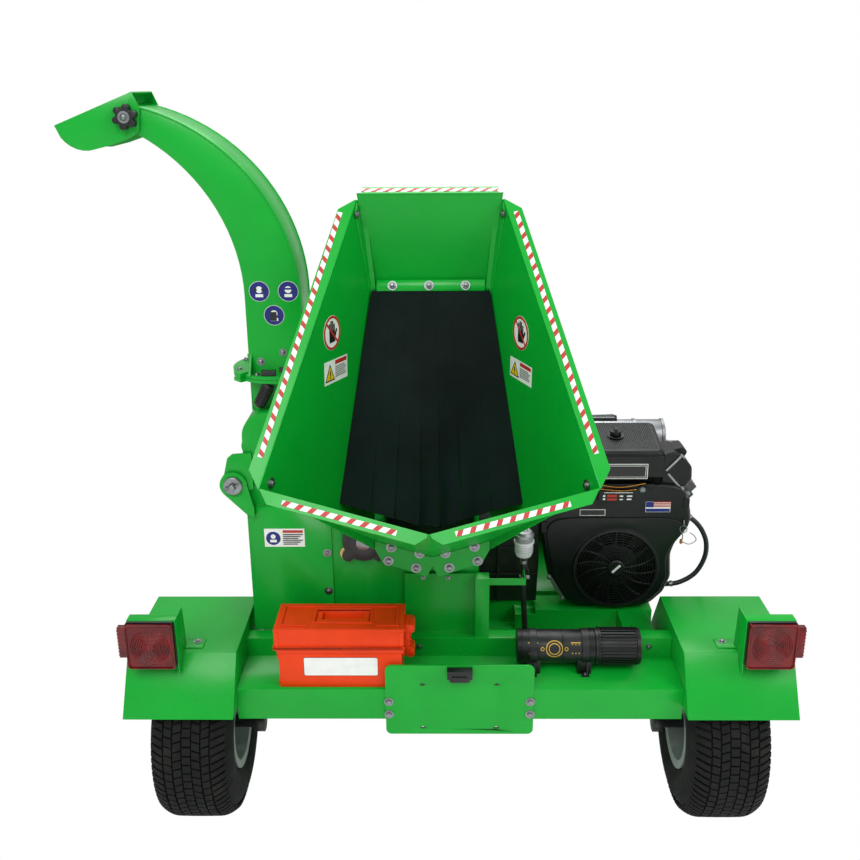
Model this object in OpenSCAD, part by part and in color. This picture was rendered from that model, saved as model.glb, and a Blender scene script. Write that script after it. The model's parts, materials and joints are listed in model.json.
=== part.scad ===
// Towable disc wood chipper: trailer, twin-cylinder engine, disc rotor, feed hopper and discharge chute.
// Millimetres. The origin is on the ground at the middle of the machine's overall length and width.
// +X is to the right as seen from the feed end, +Y points towards the tow ball, +Z is up.

/* [Trailer] */
// Width over both mudguards
overall_w = 1600; // [1560:10:1640]
// Width of each mudguard
fender_w = 263; // [255:1:263]
// Height of the mudguard tops
fender_top = 518; // [514:1:526]
// Underside of the chassis members
deck_bottom = 352; // [350:1:354]
// Top of the chassis members
deck_top = 435; // [435:1:436]
// Front end of the chassis
chassis_front = 900; // [880:5:940]
// Tow ball centre, ahead of the axle
coupler_y = 1850; // [1800:10:1950]

/* [Wheels] */
// Outer radius of each tyre
tyre_r = 235; // [232:1:238]
// Section width of each tyre
tyre_w = 201; // [198:1:206]
// Distance of the wheel axis behind the plane that Y is measured from
wheel_back = 10; // [0:1:12]
// Distance from the centre plane to each wheel's middle
wheel_x = 655; // [652:1:658]
// Radius of the rim's bead seat
rim_r = 101.6; // [100:0.1:103]

/* [Rotor] */
// Rotor axis, across
rotor_x = -236; // [-238:1:-234]
// Rotor axis, height
rotor_z = 738; // [736:1:740]
// Radius of the rotor disc
disc_r = 270; // [262:1:272]
// Radius of the rotor shaft
shaft_r = 17.5; // [15:0.5:20]
// Height where the upper housing splits from the lower one
split_z = 834; // [832:1:836]

/* [Hopper] */
// Centre plane of the hopper
hopper_x = -65; // [-68:1:-62]
// Half width of the hopper at the axle's plane
hopper_half = 136; // [134:1:138]
// How fast the side panels spread towards the mouth
flare = 0.405; // [0.38:0.005:0.42]
// Height of the lip's middle
lip_z = 1009; // [1005:1:1015]
// How far the lip's middle reaches behind the axle
lip_y = -527; // [-535:1:-520]
// Angle the mouth leans from upright
mouth_lean = 39.8; // [39:0.1:40.5]
// Sheet thickness of the hopper
hopper_t = 3; // [2:0.5:4]
// Width of the turned-out edges with the striped tape
flange_w = 29; // [24:1:32]

/* [Discharge] */
// Swivel axis of the chute, across
chute_x = -437; // [-438:1:-436]
// Swivel axis of the chute, along
chute_y = 155; // [154:1:156]
// Chute width across the machine at its foot
chute_w = 132; // [130:1:134]
// Chute depth along the machine
chute_d = 150; // [146:1:152]
// Height of the swivel joint
swivel_z = 1147; // [1145:1:1150]
// Radius of the swivel flanges
swivel_r = 118; // [116:1:120]

/* [Engine] */
// Crankshaft axis, across
crank_x = 430; // [428:1:432]
// Crankshaft axis, height
crank_z = 564; // [562:1:566]
// Rear face of the blower shroud
shroud_y = 218; // [216:1:220]
// Radius of the fan opening
fan_r = 112; // [105:1:114]
// Radius of the crankshaft
crank_r = 14; // [12:0.5:16]
// Belt radius on the engine pulley
drive_r = 60; // [58:1:62]
// Belt radius on the rotor pulley
driven_r = 95; // [93:1:97]

/* [Fits] */
// Radial running clearance of pins and shafts
run = 0.05; // [0.02:0.01:0.1]
// Gap left between sheets that lie side by side
gap = 0.4; // [0.3:0.1:0.6]

/* [Hidden] */
$fn = 64;

green = [0.04, 0.58, 0.14];
orange = [0.95, 0.28, 0.05];
steel = [0.72, 0.73, 0.75];
black = [0.06, 0.06, 0.07];
rubber = [0.08, 0.08, 0.09];
white_paint = [0.85, 0.87, 0.88];

half_w = overall_w / 2;
fender_in = half_w - fender_w;
beam_half = fender_in;
beam_back = -170;
ledge_y = 20;
ledge_top = 486;
wall = 5;

// Suspension pivot and wheel centre, in the Y-Z plane.
pivot_y = 60;
pivot_z = 290;
axle_r = 17.5;
stub_r = 20;
arm_x0 = 505;
arm_x1 = 530;

// Prop stand on the drawbar.
prop_x = 150;
prop_z = 325;
prop_r = 24;

// Rotor housing.
housing_left = -522;
housing_right = rotor_x + disc_r + 16;
housing_y0 = 25;
housing_y1 = 280;
housing_top = 1070;
hinge_x = -547;
hinge_z = 892;
hinge_pin_r = 8;

// Hopper outline in the Y-Z plane.
mouth_up = cos(mouth_lean);
mouth_back = sin(mouth_lean);
s_lip = 90.5;
s_top = 736.7;
lip_corner = [lip_y + s_lip * mouth_back, lip_z + s_lip * mouth_up];
top_corner = [lip_y + s_top * mouth_back, lip_z + s_top * mouth_up];
throat_y = -12;
throat_z = 712;
throat_top = 829;
neck_x0 = -181;
neck_x1 = 40;
bend_y = 13;
bend_z = 1380;
hem_z = 730;
curtain_y = -6;
curtain_z = 1366;
curtain_lean = 19.9;
curtain_len = 527;

// Belt drive.
belt_y0 = 616;
belt_y1 = 664;

// Toolbox and document canister on the deck.
box_x0 = -440;
box_x1 = -132;
box_y0 = -166;
box_y1 = -40;
box_seam = 541;
box_top = 595;
canister_y = -66;
canister_z = 492;
canister_r = 41;

function half_at(y) = hopper_half - flare * y;
function floor_z(u, y) = let (fall = (throat_z - lip_z) / (throat_y - lip_y),
    rise = (lip_corner[1] - lip_z - fall * (lip_corner[0] - lip_y)) / half_at(lip_corner[0]))
    lip_z + rise * abs(u) + fall * (y - lip_y);
function arc2(c, r, a0, a1, n) = [for (i = [0:n]) c + r * [cos(a0 + (a1 - a0) * i / n), sin(a0 + (a1 - a0) * i / n)]];

// A block between two opposite corners.
module block(a, b) { translate(a) cube(b - a); }
// Cylinders that start at the local origin and run along +X or +Y.
module cyl_x(r, l, fn = 64) { rotate([0, 90, 0]) cylinder(r = r, h = l, $fn = fn); }
module cyl_y(r, l, fn = 64) { rotate([-90, 0, 0]) cylinder(r = r, h = l, $fn = fn); }
// A flat outline drawn in X-Z and given a depth along +Y.
module plate_xz(y, t) { translate([0, y + t, 0]) rotate([90, 0, 0]) linear_extrude(t) children(); }
// A flat outline drawn in Y-Z and given a depth along +X.
module plate_yz(x, t) { translate([x, 0, 0]) rotate([90, 0, 90]) linear_extrude(t) children(); }
// Left and right copies about the centre plane.
module both() {
    children();
    mirror([1, 0, 0]) children();
}
// A flat polygon in space, swept by a vector into a closed slab.
module slab(p, v) {
    k = len(p);
    facing = cross(p[1] - p[0], p[2] - p[0]) * v;
    q = facing < 0 ? p : [for (i = [1:k]) p[k - i]];
    polyhedron(
        points = concat(q, [for (a = q) a + v]),
        faces = concat([[for (i = [1:k]) k - i]], [[for (i = [0:k - 1]) k + i]],
            [for (i = [0:k - 1]) [i, (i + 1) % k, k + (i + 1) % k, k + i]]));
}
// A washer with a hex head on it, standing out along local +Z from z = 0.
module bolt_head(d) {
    cylinder(r = 1.1 * d, h = 0.2 * d);
    translate([0, 0, 0.2 * d]) cylinder(r = 0.9 * d, h = 0.65 * d, $fn = 6);
}
// The same, standing out towards the feed end from a face at the given place.
module bolt_back(p, d) { translate(p) rotate([90, 0, 0]) bolt_head(d); }
// A rounded rectangle about the origin.
module round_rect(w, h, r) {
    difference() {
        square([w, h], center = true);
        for (i = [-1, 1], j = [-1, 1]) translate([i * w / 2, j * h / 2]) difference() {
            square(2 * r, center = true);
            translate([-i * r, -j * r]) circle(r);
        }
    }
}

// ---------------------------------------------------------------- trailer

module rear_beam() {
    difference() {
        block([-beam_half, beam_back, deck_bottom], [beam_half, -ledge_y, deck_top]);
        block([-beam_half + wall, beam_back + wall, deck_bottom - 1], [beam_half - wall, -ledge_y - wall, deck_top - wall]);
    }
    block([-beam_half, -ledge_y, deck_bottom], [beam_half, ledge_y, ledge_top]);
}

module pedestal() {
    difference() {
        block([rotor_x - 60, 545, deck_top - 10], [rotor_x + 60, 585, rotor_z - 46.5]);
        block([rotor_x - 50, 540, deck_top + 20], [rotor_x + 50, 590, rotor_z - 66]);
    }
}

module chassis() {
    color(green) union() {
        rear_beam();
        both() block([440, ledge_y - 1, deck_bottom], [520, chassis_front, deck_top]);
        for (y = [270, 560, chassis_front - 60]) block([-441, y, deck_bottom + 20], [441, y + 60, deck_top]);
        block([215, 305, deck_top - 20], [530, 640, deck_top + 10]);
        block([215, 215, deck_top - 6], [536, 306, deck_top]);
        block([215, 215, deck_bottom + 10], [536, 221, deck_top]);
        block([160, 215, deck_bottom + 10], [216, 306, deck_top - 14]);
        // deck sheet
        block([-441, ledge_y - 1, deck_bottom + 18], [441, chassis_front - 1, deck_bottom + 22]);
        block([-330, 560, deck_top - 20], [-100, 620, deck_top]);
        pedestal();
        // post and web under the throat
        block([41, -15, ledge_top - 1], [76, 20, 650]);
        block([-136, 14, ledge_top - 1], [42, 20, 650]);
    }
}

module drawbar_leg() {
    translate([0, 0, deck_bottom + 25]) linear_extrude(50)
        polygon([[410, chassis_front], [476, chassis_front], [39, 1560], [39, 1478]]);
}

module drawbar() {
    color(green) union() {
        block([-40, chassis_front, deck_bottom], [40, coupler_y - 90, deck_bottom + 80]);
        both() drawbar_leg();
        // arm and fork for the prop stand
        block([39, 1440, deck_bottom + 25], [prop_x + 42, 1500, deck_bottom + 75]);
        difference() {
            for (x = [prop_x - 42, prop_x + 32]) block([x, 1440, prop_z - 35], [x + 10, 1500, deck_bottom + 26]);
            translate([prop_x - 60, 1470, prop_z]) cyl_x(10 + run, 120);
        }
    }
}

module coupler() {
    top = deck_bottom + 96;
    color(steel) difference() {
        union() {
            block([-46, coupler_y - 240, deck_bottom + 80], [46, coupler_y - 40, deck_bottom + 86]);
            both() block([40, coupler_y - 240, deck_bottom + 10], [46, coupler_y - 91, deck_bottom + 81]);
            block([-34, coupler_y - 89, deck_bottom + 50], [34, coupler_y, deck_bottom + 86]);
            translate([0, coupler_y, deck_bottom + 40]) cylinder(r = 37, h = top - deck_bottom - 40);
            both() block([18, coupler_y - 72, deck_bottom + 85], [25, coupler_y - 48, deck_bottom + 108]);
        }
        translate([0, coupler_y, deck_bottom + 66]) sphere(r = 25.6);
        translate([0, coupler_y, deck_bottom + 39]) cylinder(r = 25.6, h = 27);
        translate([-30, coupler_y - 60, deck_bottom + 98]) cyl_x(5 + run, 60);
    }
}

module coupler_latch() {
    color(steel) union() {
        translate([-25, coupler_y - 60, deck_bottom + 98]) cyl_x(5, 50);
        translate([-16, coupler_y - 60, deck_bottom + 98]) cyl_x(10, 32);
        block([-14, coupler_y - 150, deck_bottom + 95], [14, coupler_y - 60, deck_bottom + 101]);
        translate([0, coupler_y - 150, deck_bottom + 100]) sphere(r = 12);
    }
}

module prop_leg() {
    color(steel) translate([prop_x, 1470, 0]) difference() {
        union() {
            cylinder(r = 60, h = 8);
            cylinder(r = prop_r, h = prop_z);
            translate([-28, 0, prop_z]) cyl_x(28, 56);
        }
        translate([-30, 0, prop_z]) cyl_x(10 + run, 60);
    }
}

module prop_handle() {
    color(steel) union() {
        translate([prop_x - 46, 1470, prop_z]) cyl_x(10, 104);
        translate([prop_x + 60, 1470, prop_z - 50]) cylinder(r = 7, h = 100);
    }
}

module axle_tube() {
    color(black) union() {
        difference() {
            block([-arm_x0 + 1, pivot_y - 32, pivot_z - 32], [arm_x0 - 1, pivot_y + 32, pivot_z + 32]);
            block([-arm_x0 + 12, pivot_y - 26, pivot_z - 26], [arm_x0 - 12, pivot_y + 26, pivot_z + 26]);
            translate([-arm_x0, pivot_y, pivot_z]) cyl_x(stub_r + run, 2 * arm_x0);
        }
        both() block([440, pivot_y - 40, pivot_z + 31], [500, pivot_y + 40, deck_bottom]);
    }
}

module suspension_arm() {
    reach = norm([pivot_y + wheel_back, pivot_z - tyre_r]);
    color(black) union() {
        translate([arm_x0 - 65, pivot_y, pivot_z]) cyl_x(stub_r, 66.1);
        translate([arm_x0, pivot_y, pivot_z]) cyl_x(30, arm_x1 - arm_x0);
        translate([arm_x0, -wheel_back, tyre_r]) cyl_x(28, arm_x1 - arm_x0);
        translate([arm_x0 + 1.5, -wheel_back, tyre_r]) rotate([atan2(pivot_z - tyre_r, pivot_y + wheel_back), 0, 0])
            translate([0, 3, -18.6]) cube([arm_x1 - arm_x0 - 3, reach - 7, 37.2]);
        translate([arm_x1 - 0.4, -wheel_back, tyre_r]) cyl_x(axle_r, wheel_x + 45.4 - arm_x1);
    }
}

module left_suspension_arm() { mirror([1, 0, 0]) suspension_arm(); }
module right_suspension_arm() { suspension_arm(); }

// Revolved outlines use [radius, distance from the wheel's middle].
module wheel_turn() { translate([wheel_x, -wheel_back, tyre_r]) rotate([0, 90, 0]) rotate_extrude($fn = 128) children(); }

module rim() {
    lip = rim_r + 17;
    color(white_paint) difference() {
        union() {
            wheel_turn() polygon([[rim_r - 4, -90], [lip, -92], [lip, -86], [rim_r, -84], [rim_r, -40], [rim_r - 12, -20],
                [rim_r - 12, 20], [rim_r, 40], [rim_r, 84], [lip, 86], [lip, 92], [rim_r - 4, 90],
                [rim_r - 4, 42], [rim_r - 16, 22], [rim_r - 16, -22], [rim_r - 4, -42]]);
            translate([wheel_x + 12, -wheel_back, tyre_r]) cyl_x(rim_r - 15, 6);
            translate([wheel_x - 55, -wheel_back, tyre_r]) cyl_x(42, 67);
            translate([wheel_x + 18, -wheel_back, tyre_r]) cyl_x(32, 30);
            translate([wheel_x + 48, -wheel_back, tyre_r]) cyl_x(26, 22);
            for (i = [0:4]) translate([wheel_x + 18, -wheel_back, tyre_r]) rotate([72 * i, 0, 0]) translate([0, 0, 57.15])
                cyl_x(11, 16, 6);
        }
        translate([wheel_x - 60, -wheel_back, tyre_r]) cyl_x(axle_r + run, 110);
    }
}

module left_rim() { mirror([1, 0, 0]) rim(); }
module right_rim() { rim(); }

module tyre() {
    half = tyre_w / 2;
    bead = rim_r + gap / 4;
    color(rubber) wheel_turn() polygon(concat(
        [[bead, -84 + gap], [bead, -70]],
        [[tyre_r - 44, -half + 20], [tyre_r - 20, -half + 40], [tyre_r - 14, 0], [tyre_r - 20, half - 40], [tyre_r - 44, half - 20]],
        [[bead, 70], [bead, 84 - gap], [bead + 18, 84 - gap]],
        [[rim_r + 34, half - 5], [rim_r + 62, half], [tyre_r - 52, half - 3], [tyre_r - 36, half - 9]],
        arc2([tyre_r - 44, half - 38], 32, 42, 64, 2),
        [[tyre_r - 4.5, 52], [tyre_r - 1.5, 32], [tyre_r, 12], [tyre_r, -12], [tyre_r - 1.5, -32], [tyre_r - 4.5, -52]],
        arc2([tyre_r - 44, -half + 38], 32, -64, -42, 2),
        [[tyre_r - 36, -half + 9], [tyre_r - 52, -half + 3], [rim_r + 62, -half], [rim_r + 34, -half + 5], [bead + 18, -84 + gap]]));
}

module left_tyre() { mirror([1, 0, 0]) tyre(); }
module right_tyre() { tyre(); }

module fender_outline(t) {
    top_half = 140;
    foot_half = 226;
    foot_z = 388;
    polygon([[-foot_half, foot_z], [-top_half, fender_top], [top_half, fender_top], [foot_half, foot_z],
        [foot_half - 1.2 * t, foot_z], [top_half - t / 2, fender_top - t], [-top_half + t / 2, fender_top - t],
        [-foot_half + 1.2 * t, foot_z]]);
}

module fender() {
    plate_yz(fender_in, fender_w) fender_outline(4);
    plate_yz(fender_in, 4) polygon([[-226, 388], [-140, fender_top - 1], [140, fender_top - 1], [226, 388]]);
    // lamp bracket: foot, upright, hood and inner wing
    block([622, -122, fender_top - 0.5], [668, -80, fender_top + 3]);
    block([665, -153, fender_top - 0.5], [780, -150, 628]);
    block([665, -182, 625], [780, -150, 628]);
    plate_yz(665, 3) polygon([[-182, 628], [-114, 628], [-104, 520], [-140, 519], [-160, 490], [-182, 486]]);
}

module fenders() { color(green) both() fender(); }

module plate_bracket() {
    color(green) difference() {
        plate_xz(beam_back - 5, 5) translate([0, 408.5]) round_rect(356, 191, 14);
        for (i = [-1, 1], j = [-1, 1]) translate([i * 88.9, beam_back - 10, 391.5 + j * 60.325]) cyl_y(3.5, 20);
    }
}

module plate_lamp() {
    color(black) union() {
        block([-30, beam_back - 27, 478], [30, beam_back - 5.5, 500]);
        block([-24, beam_back - 25, 470], [24, beam_back - 8, 479]);
    }
}

module lamp_housings() {
    color(black) both() difference() {
        block([672, -181, 515], [780, -153.5, 624]);
        block([678, -182, 521], [774, -160, 618]);
    }
}

module lamp_lenses() {
    color([0.6, 0.02, 0.02]) both() union() {
        block([670, -199, 512], [779, -181.5, 624]);
        block([778, -196, 538], [799, -181.5, 618]);
    }
}

// ---------------------------------------------------------------- rotor and housing

// Housing outline in X-Z; inset shrinks every wall.
module housing_outline(inset) {
    square_r = 60 - inset;
    left = housing_left + inset;
    top = housing_top - inset;
    translate([rotor_x, rotor_z]) circle(disc_r + 16 - inset);
    translate([left, 560]) square([rotor_x - left, split_z - 560]);
    translate([rotor_x - 1, rotor_z]) square([disc_r + 17 - inset, split_z - rotor_z]);
    translate([left, split_z - 1]) square([172, top - square_r - split_z + 1]);
    translate([left + square_r, top - square_r - 1]) square([172 - square_r, square_r + 1]);
    intersection() {
        translate([left + square_r, top - square_r]) circle(square_r);
        translate([left, top - square_r]) square(square_r);
    }
}

// A hinge plate: round about the pin, with a straight-sided foot given as an outline.
module hinge_plate(y, outline) {
    plate_xz(y, 8) difference() {
        union() {
            translate([hinge_x, hinge_z]) circle(33);
            polygon(outline);
        }
        translate([hinge_x, hinge_z]) circle(hinge_pin_r + run);
    }
}

lower_foot = [[hinge_x - 26, hinge_z - 21], [housing_left + 1, 818], [-500, 806], [-500, 832], [hinge_x + 33, hinge_z]];
upper_foot = [[hinge_x - 31, hinge_z - 10], [hinge_x - 12, 958], [hinge_x, 968], [-500, 972], [-500, 880], [hinge_x, hinge_z - 30]];

module lower_ears() {
    for (y = [5, 292]) hinge_plate(y, lower_foot);
    block([housing_left + 1, 12, 812], [-500, housing_y0 + 1, 832]);
    block([housing_left + 1, housing_y1 - 1, 812], [-500, 293, 832]);
}

module upper_ears() {
    for (y = [14, 283]) hinge_plate(y, upper_foot);
    block([housing_left + 1, 21, 900], [-500, housing_y0 + 1, 968]);
    block([housing_left + 1, housing_y1 - 1, 900], [-500, 284, 968]);
}

module throat_opening() {
    translate([neck_x0 + 5, throat_z]) square([neck_x1 - neck_x0 - 10, throat_top - throat_z]);
}

module lower_housing() {
    color(green) union() {
        difference() {
            union() {
                plate_xz(housing_y0, housing_y1 - housing_y0) intersection() {
                    housing_outline(0);
                    translate([-700, 0]) square([900, split_z - 0.5]);
                }
                block([housing_left, housing_y0, ledge_top], [housing_right, housing_y0 + 5, split_z - 0.5]);
            }
            plate_xz(housing_y0 + 5, housing_y1 - housing_y0 - 10) housing_outline(5);
            plate_xz(housing_y0 - 1, 7) throat_opening();
            translate([rotor_x, housing_y0 - 1, rotor_z]) cyl_y(24, housing_y1 - housing_y0 + 2);
        }
        // feed neck between the hopper's throat and the housing
        plate_xz(throat_y + 0.5, housing_y0 - throat_y + 1) difference() {
            translate([neck_x0, throat_z - 5]) square([neck_x1 - neck_x0, throat_top - 0.4 - throat_z + 5]);
            throat_opening();
        }
        block([neck_x0, throat_y + hopper_t + 0.6, throat_top - 1], [neck_x1, housing_y0 + 1, split_z - 0.5]);
        both_feet();
        lower_ears();
    }
}

module both_feet() {
    for (x = [rotor_x - 170, rotor_x + 90]) block([x, 271, deck_top], [x + 80, 279, 540]);
}

module upper_housing() {
    clip_r = swivel_r + 14;
    color(green) union() {
        difference() {
            union() {
                plate_xz(housing_y0, housing_y1 - housing_y0) intersection() {
                    housing_outline(0);
                    translate([-700, split_z]) square([900, 600]);
                }
                block([chute_x - chute_w / 2, chute_y - chute_d / 2, housing_top - 10],
                    [chute_x + chute_w / 2, chute_y + chute_d / 2, swivel_z - 8]);
                translate([chute_x, chute_y, swivel_z - 9]) cylinder(r = swivel_r, h = 8);
                // clip tabs on the lower swivel flange
                for (a = [45, 135, 225, 315]) translate([chute_x, chute_y, swivel_z - 9]) rotate([0, 0, a])
                    translate([swivel_r - 8, -14, 0]) cube([22, 28, 8]);
            }
            plate_xz(housing_y0 + 5, housing_y1 - housing_y0 - 10) intersection() {
                housing_outline(5);
                translate([-700, split_z - 2]) square([900, 600]);
            }
            block([chute_x - chute_w / 2 + 4, chute_y - chute_d / 2 + 4, housing_top - 20],
                [chute_x + chute_w / 2 - 4, chute_y + chute_d / 2 - 4, swivel_z + 1]);
        }
        // clips that hold the chute's flange down
        for (a = [45, 135, 225, 315]) translate([chute_x, chute_y, 0]) rotate([0, 0, a]) {
            translate([swivel_r + 1, -12, swivel_z - 1]) cube([12, 24, 14]);
            translate([swivel_r - 10, -12, swivel_z + 9]) cube([23, 24, 4]);
        }
        upper_ears();
    }
}

module hinge_pin() {
    color(steel) union() {
        translate([hinge_x, -2, hinge_z]) cyl_y(hinge_pin_r, 310);
        translate([hinge_x, 0, hinge_z]) cyl_y(23, 4);
        translate([hinge_x, -12, hinge_z]) cyl_y(hinge_pin_r, 9);
        translate([hinge_x, 301, hinge_z]) cyl_y(23, 4);
    }
}

module access_panel() {
    color(green) plate_xz(housing_y0 - 5, 4.5) polygon([[housing_left + 4, ledge_top + 1], [-315, ledge_top + 1],
        [-315, split_z - 4], [-499, split_z - 4], [-499, 811], [housing_left + 4, 811]]);
}

module rotor_shaft() {
    color(steel) union() {
        translate([rotor_x, 0, rotor_z]) cyl_y(shaft_r, 690);
        // belt pulley on the front end
        translate([rotor_x, belt_y0 - 1, rotor_z]) cyl_y(driven_r - 8, belt_y1 - belt_y0 + 2);
        for (y = [belt_y0 - 9, belt_y1 + 1]) translate([rotor_x, y, rotor_z]) cyl_y(driven_r + 6, 8);
    }
}

// Four knife seats, a quarter turn apart, in the disc's feed face.
module knife_places() {
    for (a = [0, 90, 180, 270]) translate([rotor_x, 0, rotor_z]) rotate([0, a + 20, 0]) children();
}

module rotor_disc() {
    color([0.45, 0.46, 0.48]) difference() {
        union() {
            translate([rotor_x, 62, rotor_z]) cyl_y(disc_r, 25);
            translate([rotor_x, 86, rotor_z]) cyl_y(45, 60);
            // fan paddles behind the disc
            for (a = [0, 90, 180, 270]) translate([rotor_x, 86, rotor_z]) rotate([0, a + 45, 0])
                translate([60, 0, -5]) cube([disc_r - 64, 150, 10]);
        }
        translate([rotor_x, 50, rotor_z]) cyl_y(shaft_r, 120);
        knife_places() translate([75, 61, -22]) cube([170, 11, 44]);
    }
}

module rotor_knives() {
    color(steel) knife_places() translate([76, 59, -20]) cube([168, 12, 40]);
}

module bed_knife() {
    color(steel) block([hopper_x - 95, 34, throat_z - 34], [hopper_x + 90, 56, throat_z - 14]);
}

module flange_bearing(y) {
    translate([0, y, 0]) difference() {
        union() {
            for (a = [45, 135, 225, 315]) translate([rotor_x + 55 * cos(a), 0, rotor_z + 55 * sin(a)]) cyl_y(15, 12);
            translate([rotor_x, 0, rotor_z]) cyl_y(52, 12);
            translate([rotor_x, 0, rotor_z]) cyl_y(36, 22);
        }
        translate([rotor_x, -1, rotor_z]) cyl_y(shaft_r + run, 40);
    }
}

module bearings() {
    color([0.2, 0.2, 0.21]) union() {
        translate([0, 2 * housing_y0 - 1, 0]) mirror([0, 1, 0]) flange_bearing(housing_y0 - 0.5);
        flange_bearing(housing_y1 + 0.5);
        difference() {
            union() {
                translate([rotor_x, 545, rotor_z]) cyl_y(46, 40);
                block([rotor_x - 58, 545, rotor_z - 46.4], [rotor_x + 58, 585, rotor_z - 20]);
            }
            translate([rotor_x, 540, rotor_z]) cyl_y(shaft_r + run, 50);
        }
    }
}

// ---------------------------------------------------------------- hopper

module in_hopper() { translate([hopper_x, 0, 0]) children(); }
// The mouth's plane: drawn in X and the slope's direction, front face at z = 0.
module on_mouth(t) {
    translate([hopper_x, lip_y, lip_z]) rotate([90 - mouth_lean, 0, 0]) translate([0, 0, -t]) linear_extrude(t) children();
}
// A turned-out edge from one mouth corner to the next: length l, clipped at both ends.
module edge_strip(p, q, w, cut_p, cut_q, start = 0) {
    d = q - p;
    l = norm(d);
    translate(p) rotate(atan2(d[1], d[0])) polygon([[start, 0], [start + cut_p[0], -cut_p[1]], [start + cut_p[0] + cut_p[2], -w],
        [l - cut_q, -w], [l, -2], [l, 0]]);
}
function mouth_corner(side, s) = [side * half_at(lip_y + s * mouth_back), s];

module side_panel() {
    y0 = lip_corner[0];
    y1 = top_corner[0];
    outline = [[y0, lip_corner[1]], [y1, top_corner[1]], [bend_y, bend_z], [throat_y, throat_top], [throat_y, hem_z]];
    slab([for (p = outline) [hopper_x + half_at(p[0]), p[0], p[1]]], [hopper_t, 0, 0]);
    on_mouth(hopper_t) edge_strip(mouth_corner(1, s_lip), mouth_corner(1, s_top), flange_w + 1.5, [0, 2, 32], 31);
}

module hopper_right_side() { color(green) side_panel(); }
module hopper_left_side() { color(green) translate([2 * hopper_x, 0, 0]) mirror([1, 0, 0]) side_panel(); }

module floor_half(side) {
    y0 = lip_corner[0];
    h0 = half_at(y0) - gap;
    h1 = half_at(throat_y) - gap;
    slab([[hopper_x, lip_y, lip_z], [hopper_x + side * h0, y0, floor_z(h0, y0)],
        [hopper_x + side * h1, throat_y, floor_z(h1, throat_y)], [hopper_x, throat_y, throat_z]], [0, 0, -1.25 * hopper_t]);
}

module lip_strip() {
    on_mouth(hopper_t) mirror([1, 0, 0]) mirror([0, 1, 0]) rotate(180) mirror([1, 0, 0])
        edge_strip([0, 0], mouth_corner(1, s_lip) - [2.4, 0], flange_w - 3, [0, 8, 17], 22, 3);
}

module throat_flange() {
    half = half_at(throat_y) - 0.6;
    plate_xz(throat_y - hopper_t, hopper_t) difference() {
        polygon([[hopper_x, floor_z(0, throat_y) - 3], [hopper_x + half, floor_z(half, throat_y) - 3], [hopper_x + half, hem_z],
            [hopper_x + half - 18, hem_z - 36], [hopper_x + 14, 656], [hopper_x, 686], [hopper_x - 14, 656],
            [hopper_x - half + 18, hem_z - 36], [hopper_x - half, hem_z], [hopper_x - half, floor_z(half, throat_y) - 3]]);
    }
}

module hopper_floor() {
    color(green) union() {
        floor_half(1);
        floor_half(-1);
        lip_strip();
        translate([2 * hopper_x, 0, 0]) mirror([1, 0, 0]) lip_strip();
        throat_flange();
    }
}

// A panel across the hopper between two levels, forward of the given line.
module cross_panel(p, q) {
    hp = half_at(p[0] + hopper_t) - gap;
    hq = half_at(q[0] + hopper_t) - gap;
    slab([[hopper_x - hp, p[0], p[1]], [hopper_x + hp, p[0], p[1]], [hopper_x + hq, q[0], q[1]], [hopper_x - hq, q[0], q[1]]],
        [0, hopper_t, 0]);
}

// Tabs of the top panel that lie on the side panels.
module side_tab() {
    w = 22;
    t = 2.5;
    outline = [top_corner + [0, -6], [bend_y, bend_z], [bend_y - w, bend_z - 6], top_corner + [-6, -28]];
    slab([for (p = outline) [hopper_x + half_at(p[0]) - gap - t, p[0], p[1]]], [t, 0, 0]);
}

module hopper_back() {
    y1 = top_corner[0];
    z1 = top_corner[1] + 14;
    hy = half_at(y1 + hopper_t + 26) - gap;
    color(green) union() {
        cross_panel([y1, z1], [bend_y, bend_z]);
        cross_panel([bend_y, bend_z], [throat_y, throat_top]);
        // turned top edge
        slab([[hopper_x - hy, y1, z1], [hopper_x + hy, y1, z1], [hopper_x + hy, y1 + 26, z1 + 10], [hopper_x - hy, y1 + 26, z1 + 10]],
            [0, 0, -hopper_t]);
        side_tab();
        translate([2 * hopper_x, 0, 0]) mirror([1, 0, 0]) side_tab();
    }
}

// Local frame of the hanging curtain: z runs down along it, y is its normal.
module on_curtain() {
    translate([hopper_x, curtain_y, curtain_z]) rotate([-curtain_lean, 0, 0]) children();
}

module curtain_clamp() {
    color(green) on_curtain() translate([-122, -5, 1.5]) cube([244, 12.3, 25]);
}

module curtain() {
    top = half_at(curtain_y) - 4;
    bottom = half_at(curtain_y - curtain_len * sin(curtain_lean)) - 5;
    slit = 3;
    color(rubber) on_curtain() translate([-top, 0, -3]) cyl_x(2.9, 2 * top);
    color(rubber) on_curtain() translate([0, 2.5, 0]) rotate([90, 0, 0]) linear_extrude(5) difference() {
        polygon([[-top, -3], [top, -3], [bottom - 12, -curtain_len + 40], [30, -curtain_len], [-30, -curtain_len],
            [-bottom + 12, -curtain_len + 40]]);
        for (i = [-3:3]) translate([i * 38 - slit / 2, -curtain_len - 10])
            square([slit, curtain_len * (0.62 - 0.05 * abs(i))]);
    }
}

// ---------------------------------------------------------------- discharge

// The chute's side outline in X-Z, shrunk by t: straight, then bent over on two arcs.
function chute_outline(t) = let (x0 = chute_x - chute_w / 2, x1 = chute_x + chute_w / 2) concat(
    [[x0 + t, swivel_z], [x1 - t, swivel_z]],
    arc2([x1 - 455, 1324], 455 - t, 0, 79, 20),
    [for (p = arc2([x0 - 420, 1340], 420 + t, 65, 0, 18)) p]);

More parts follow.
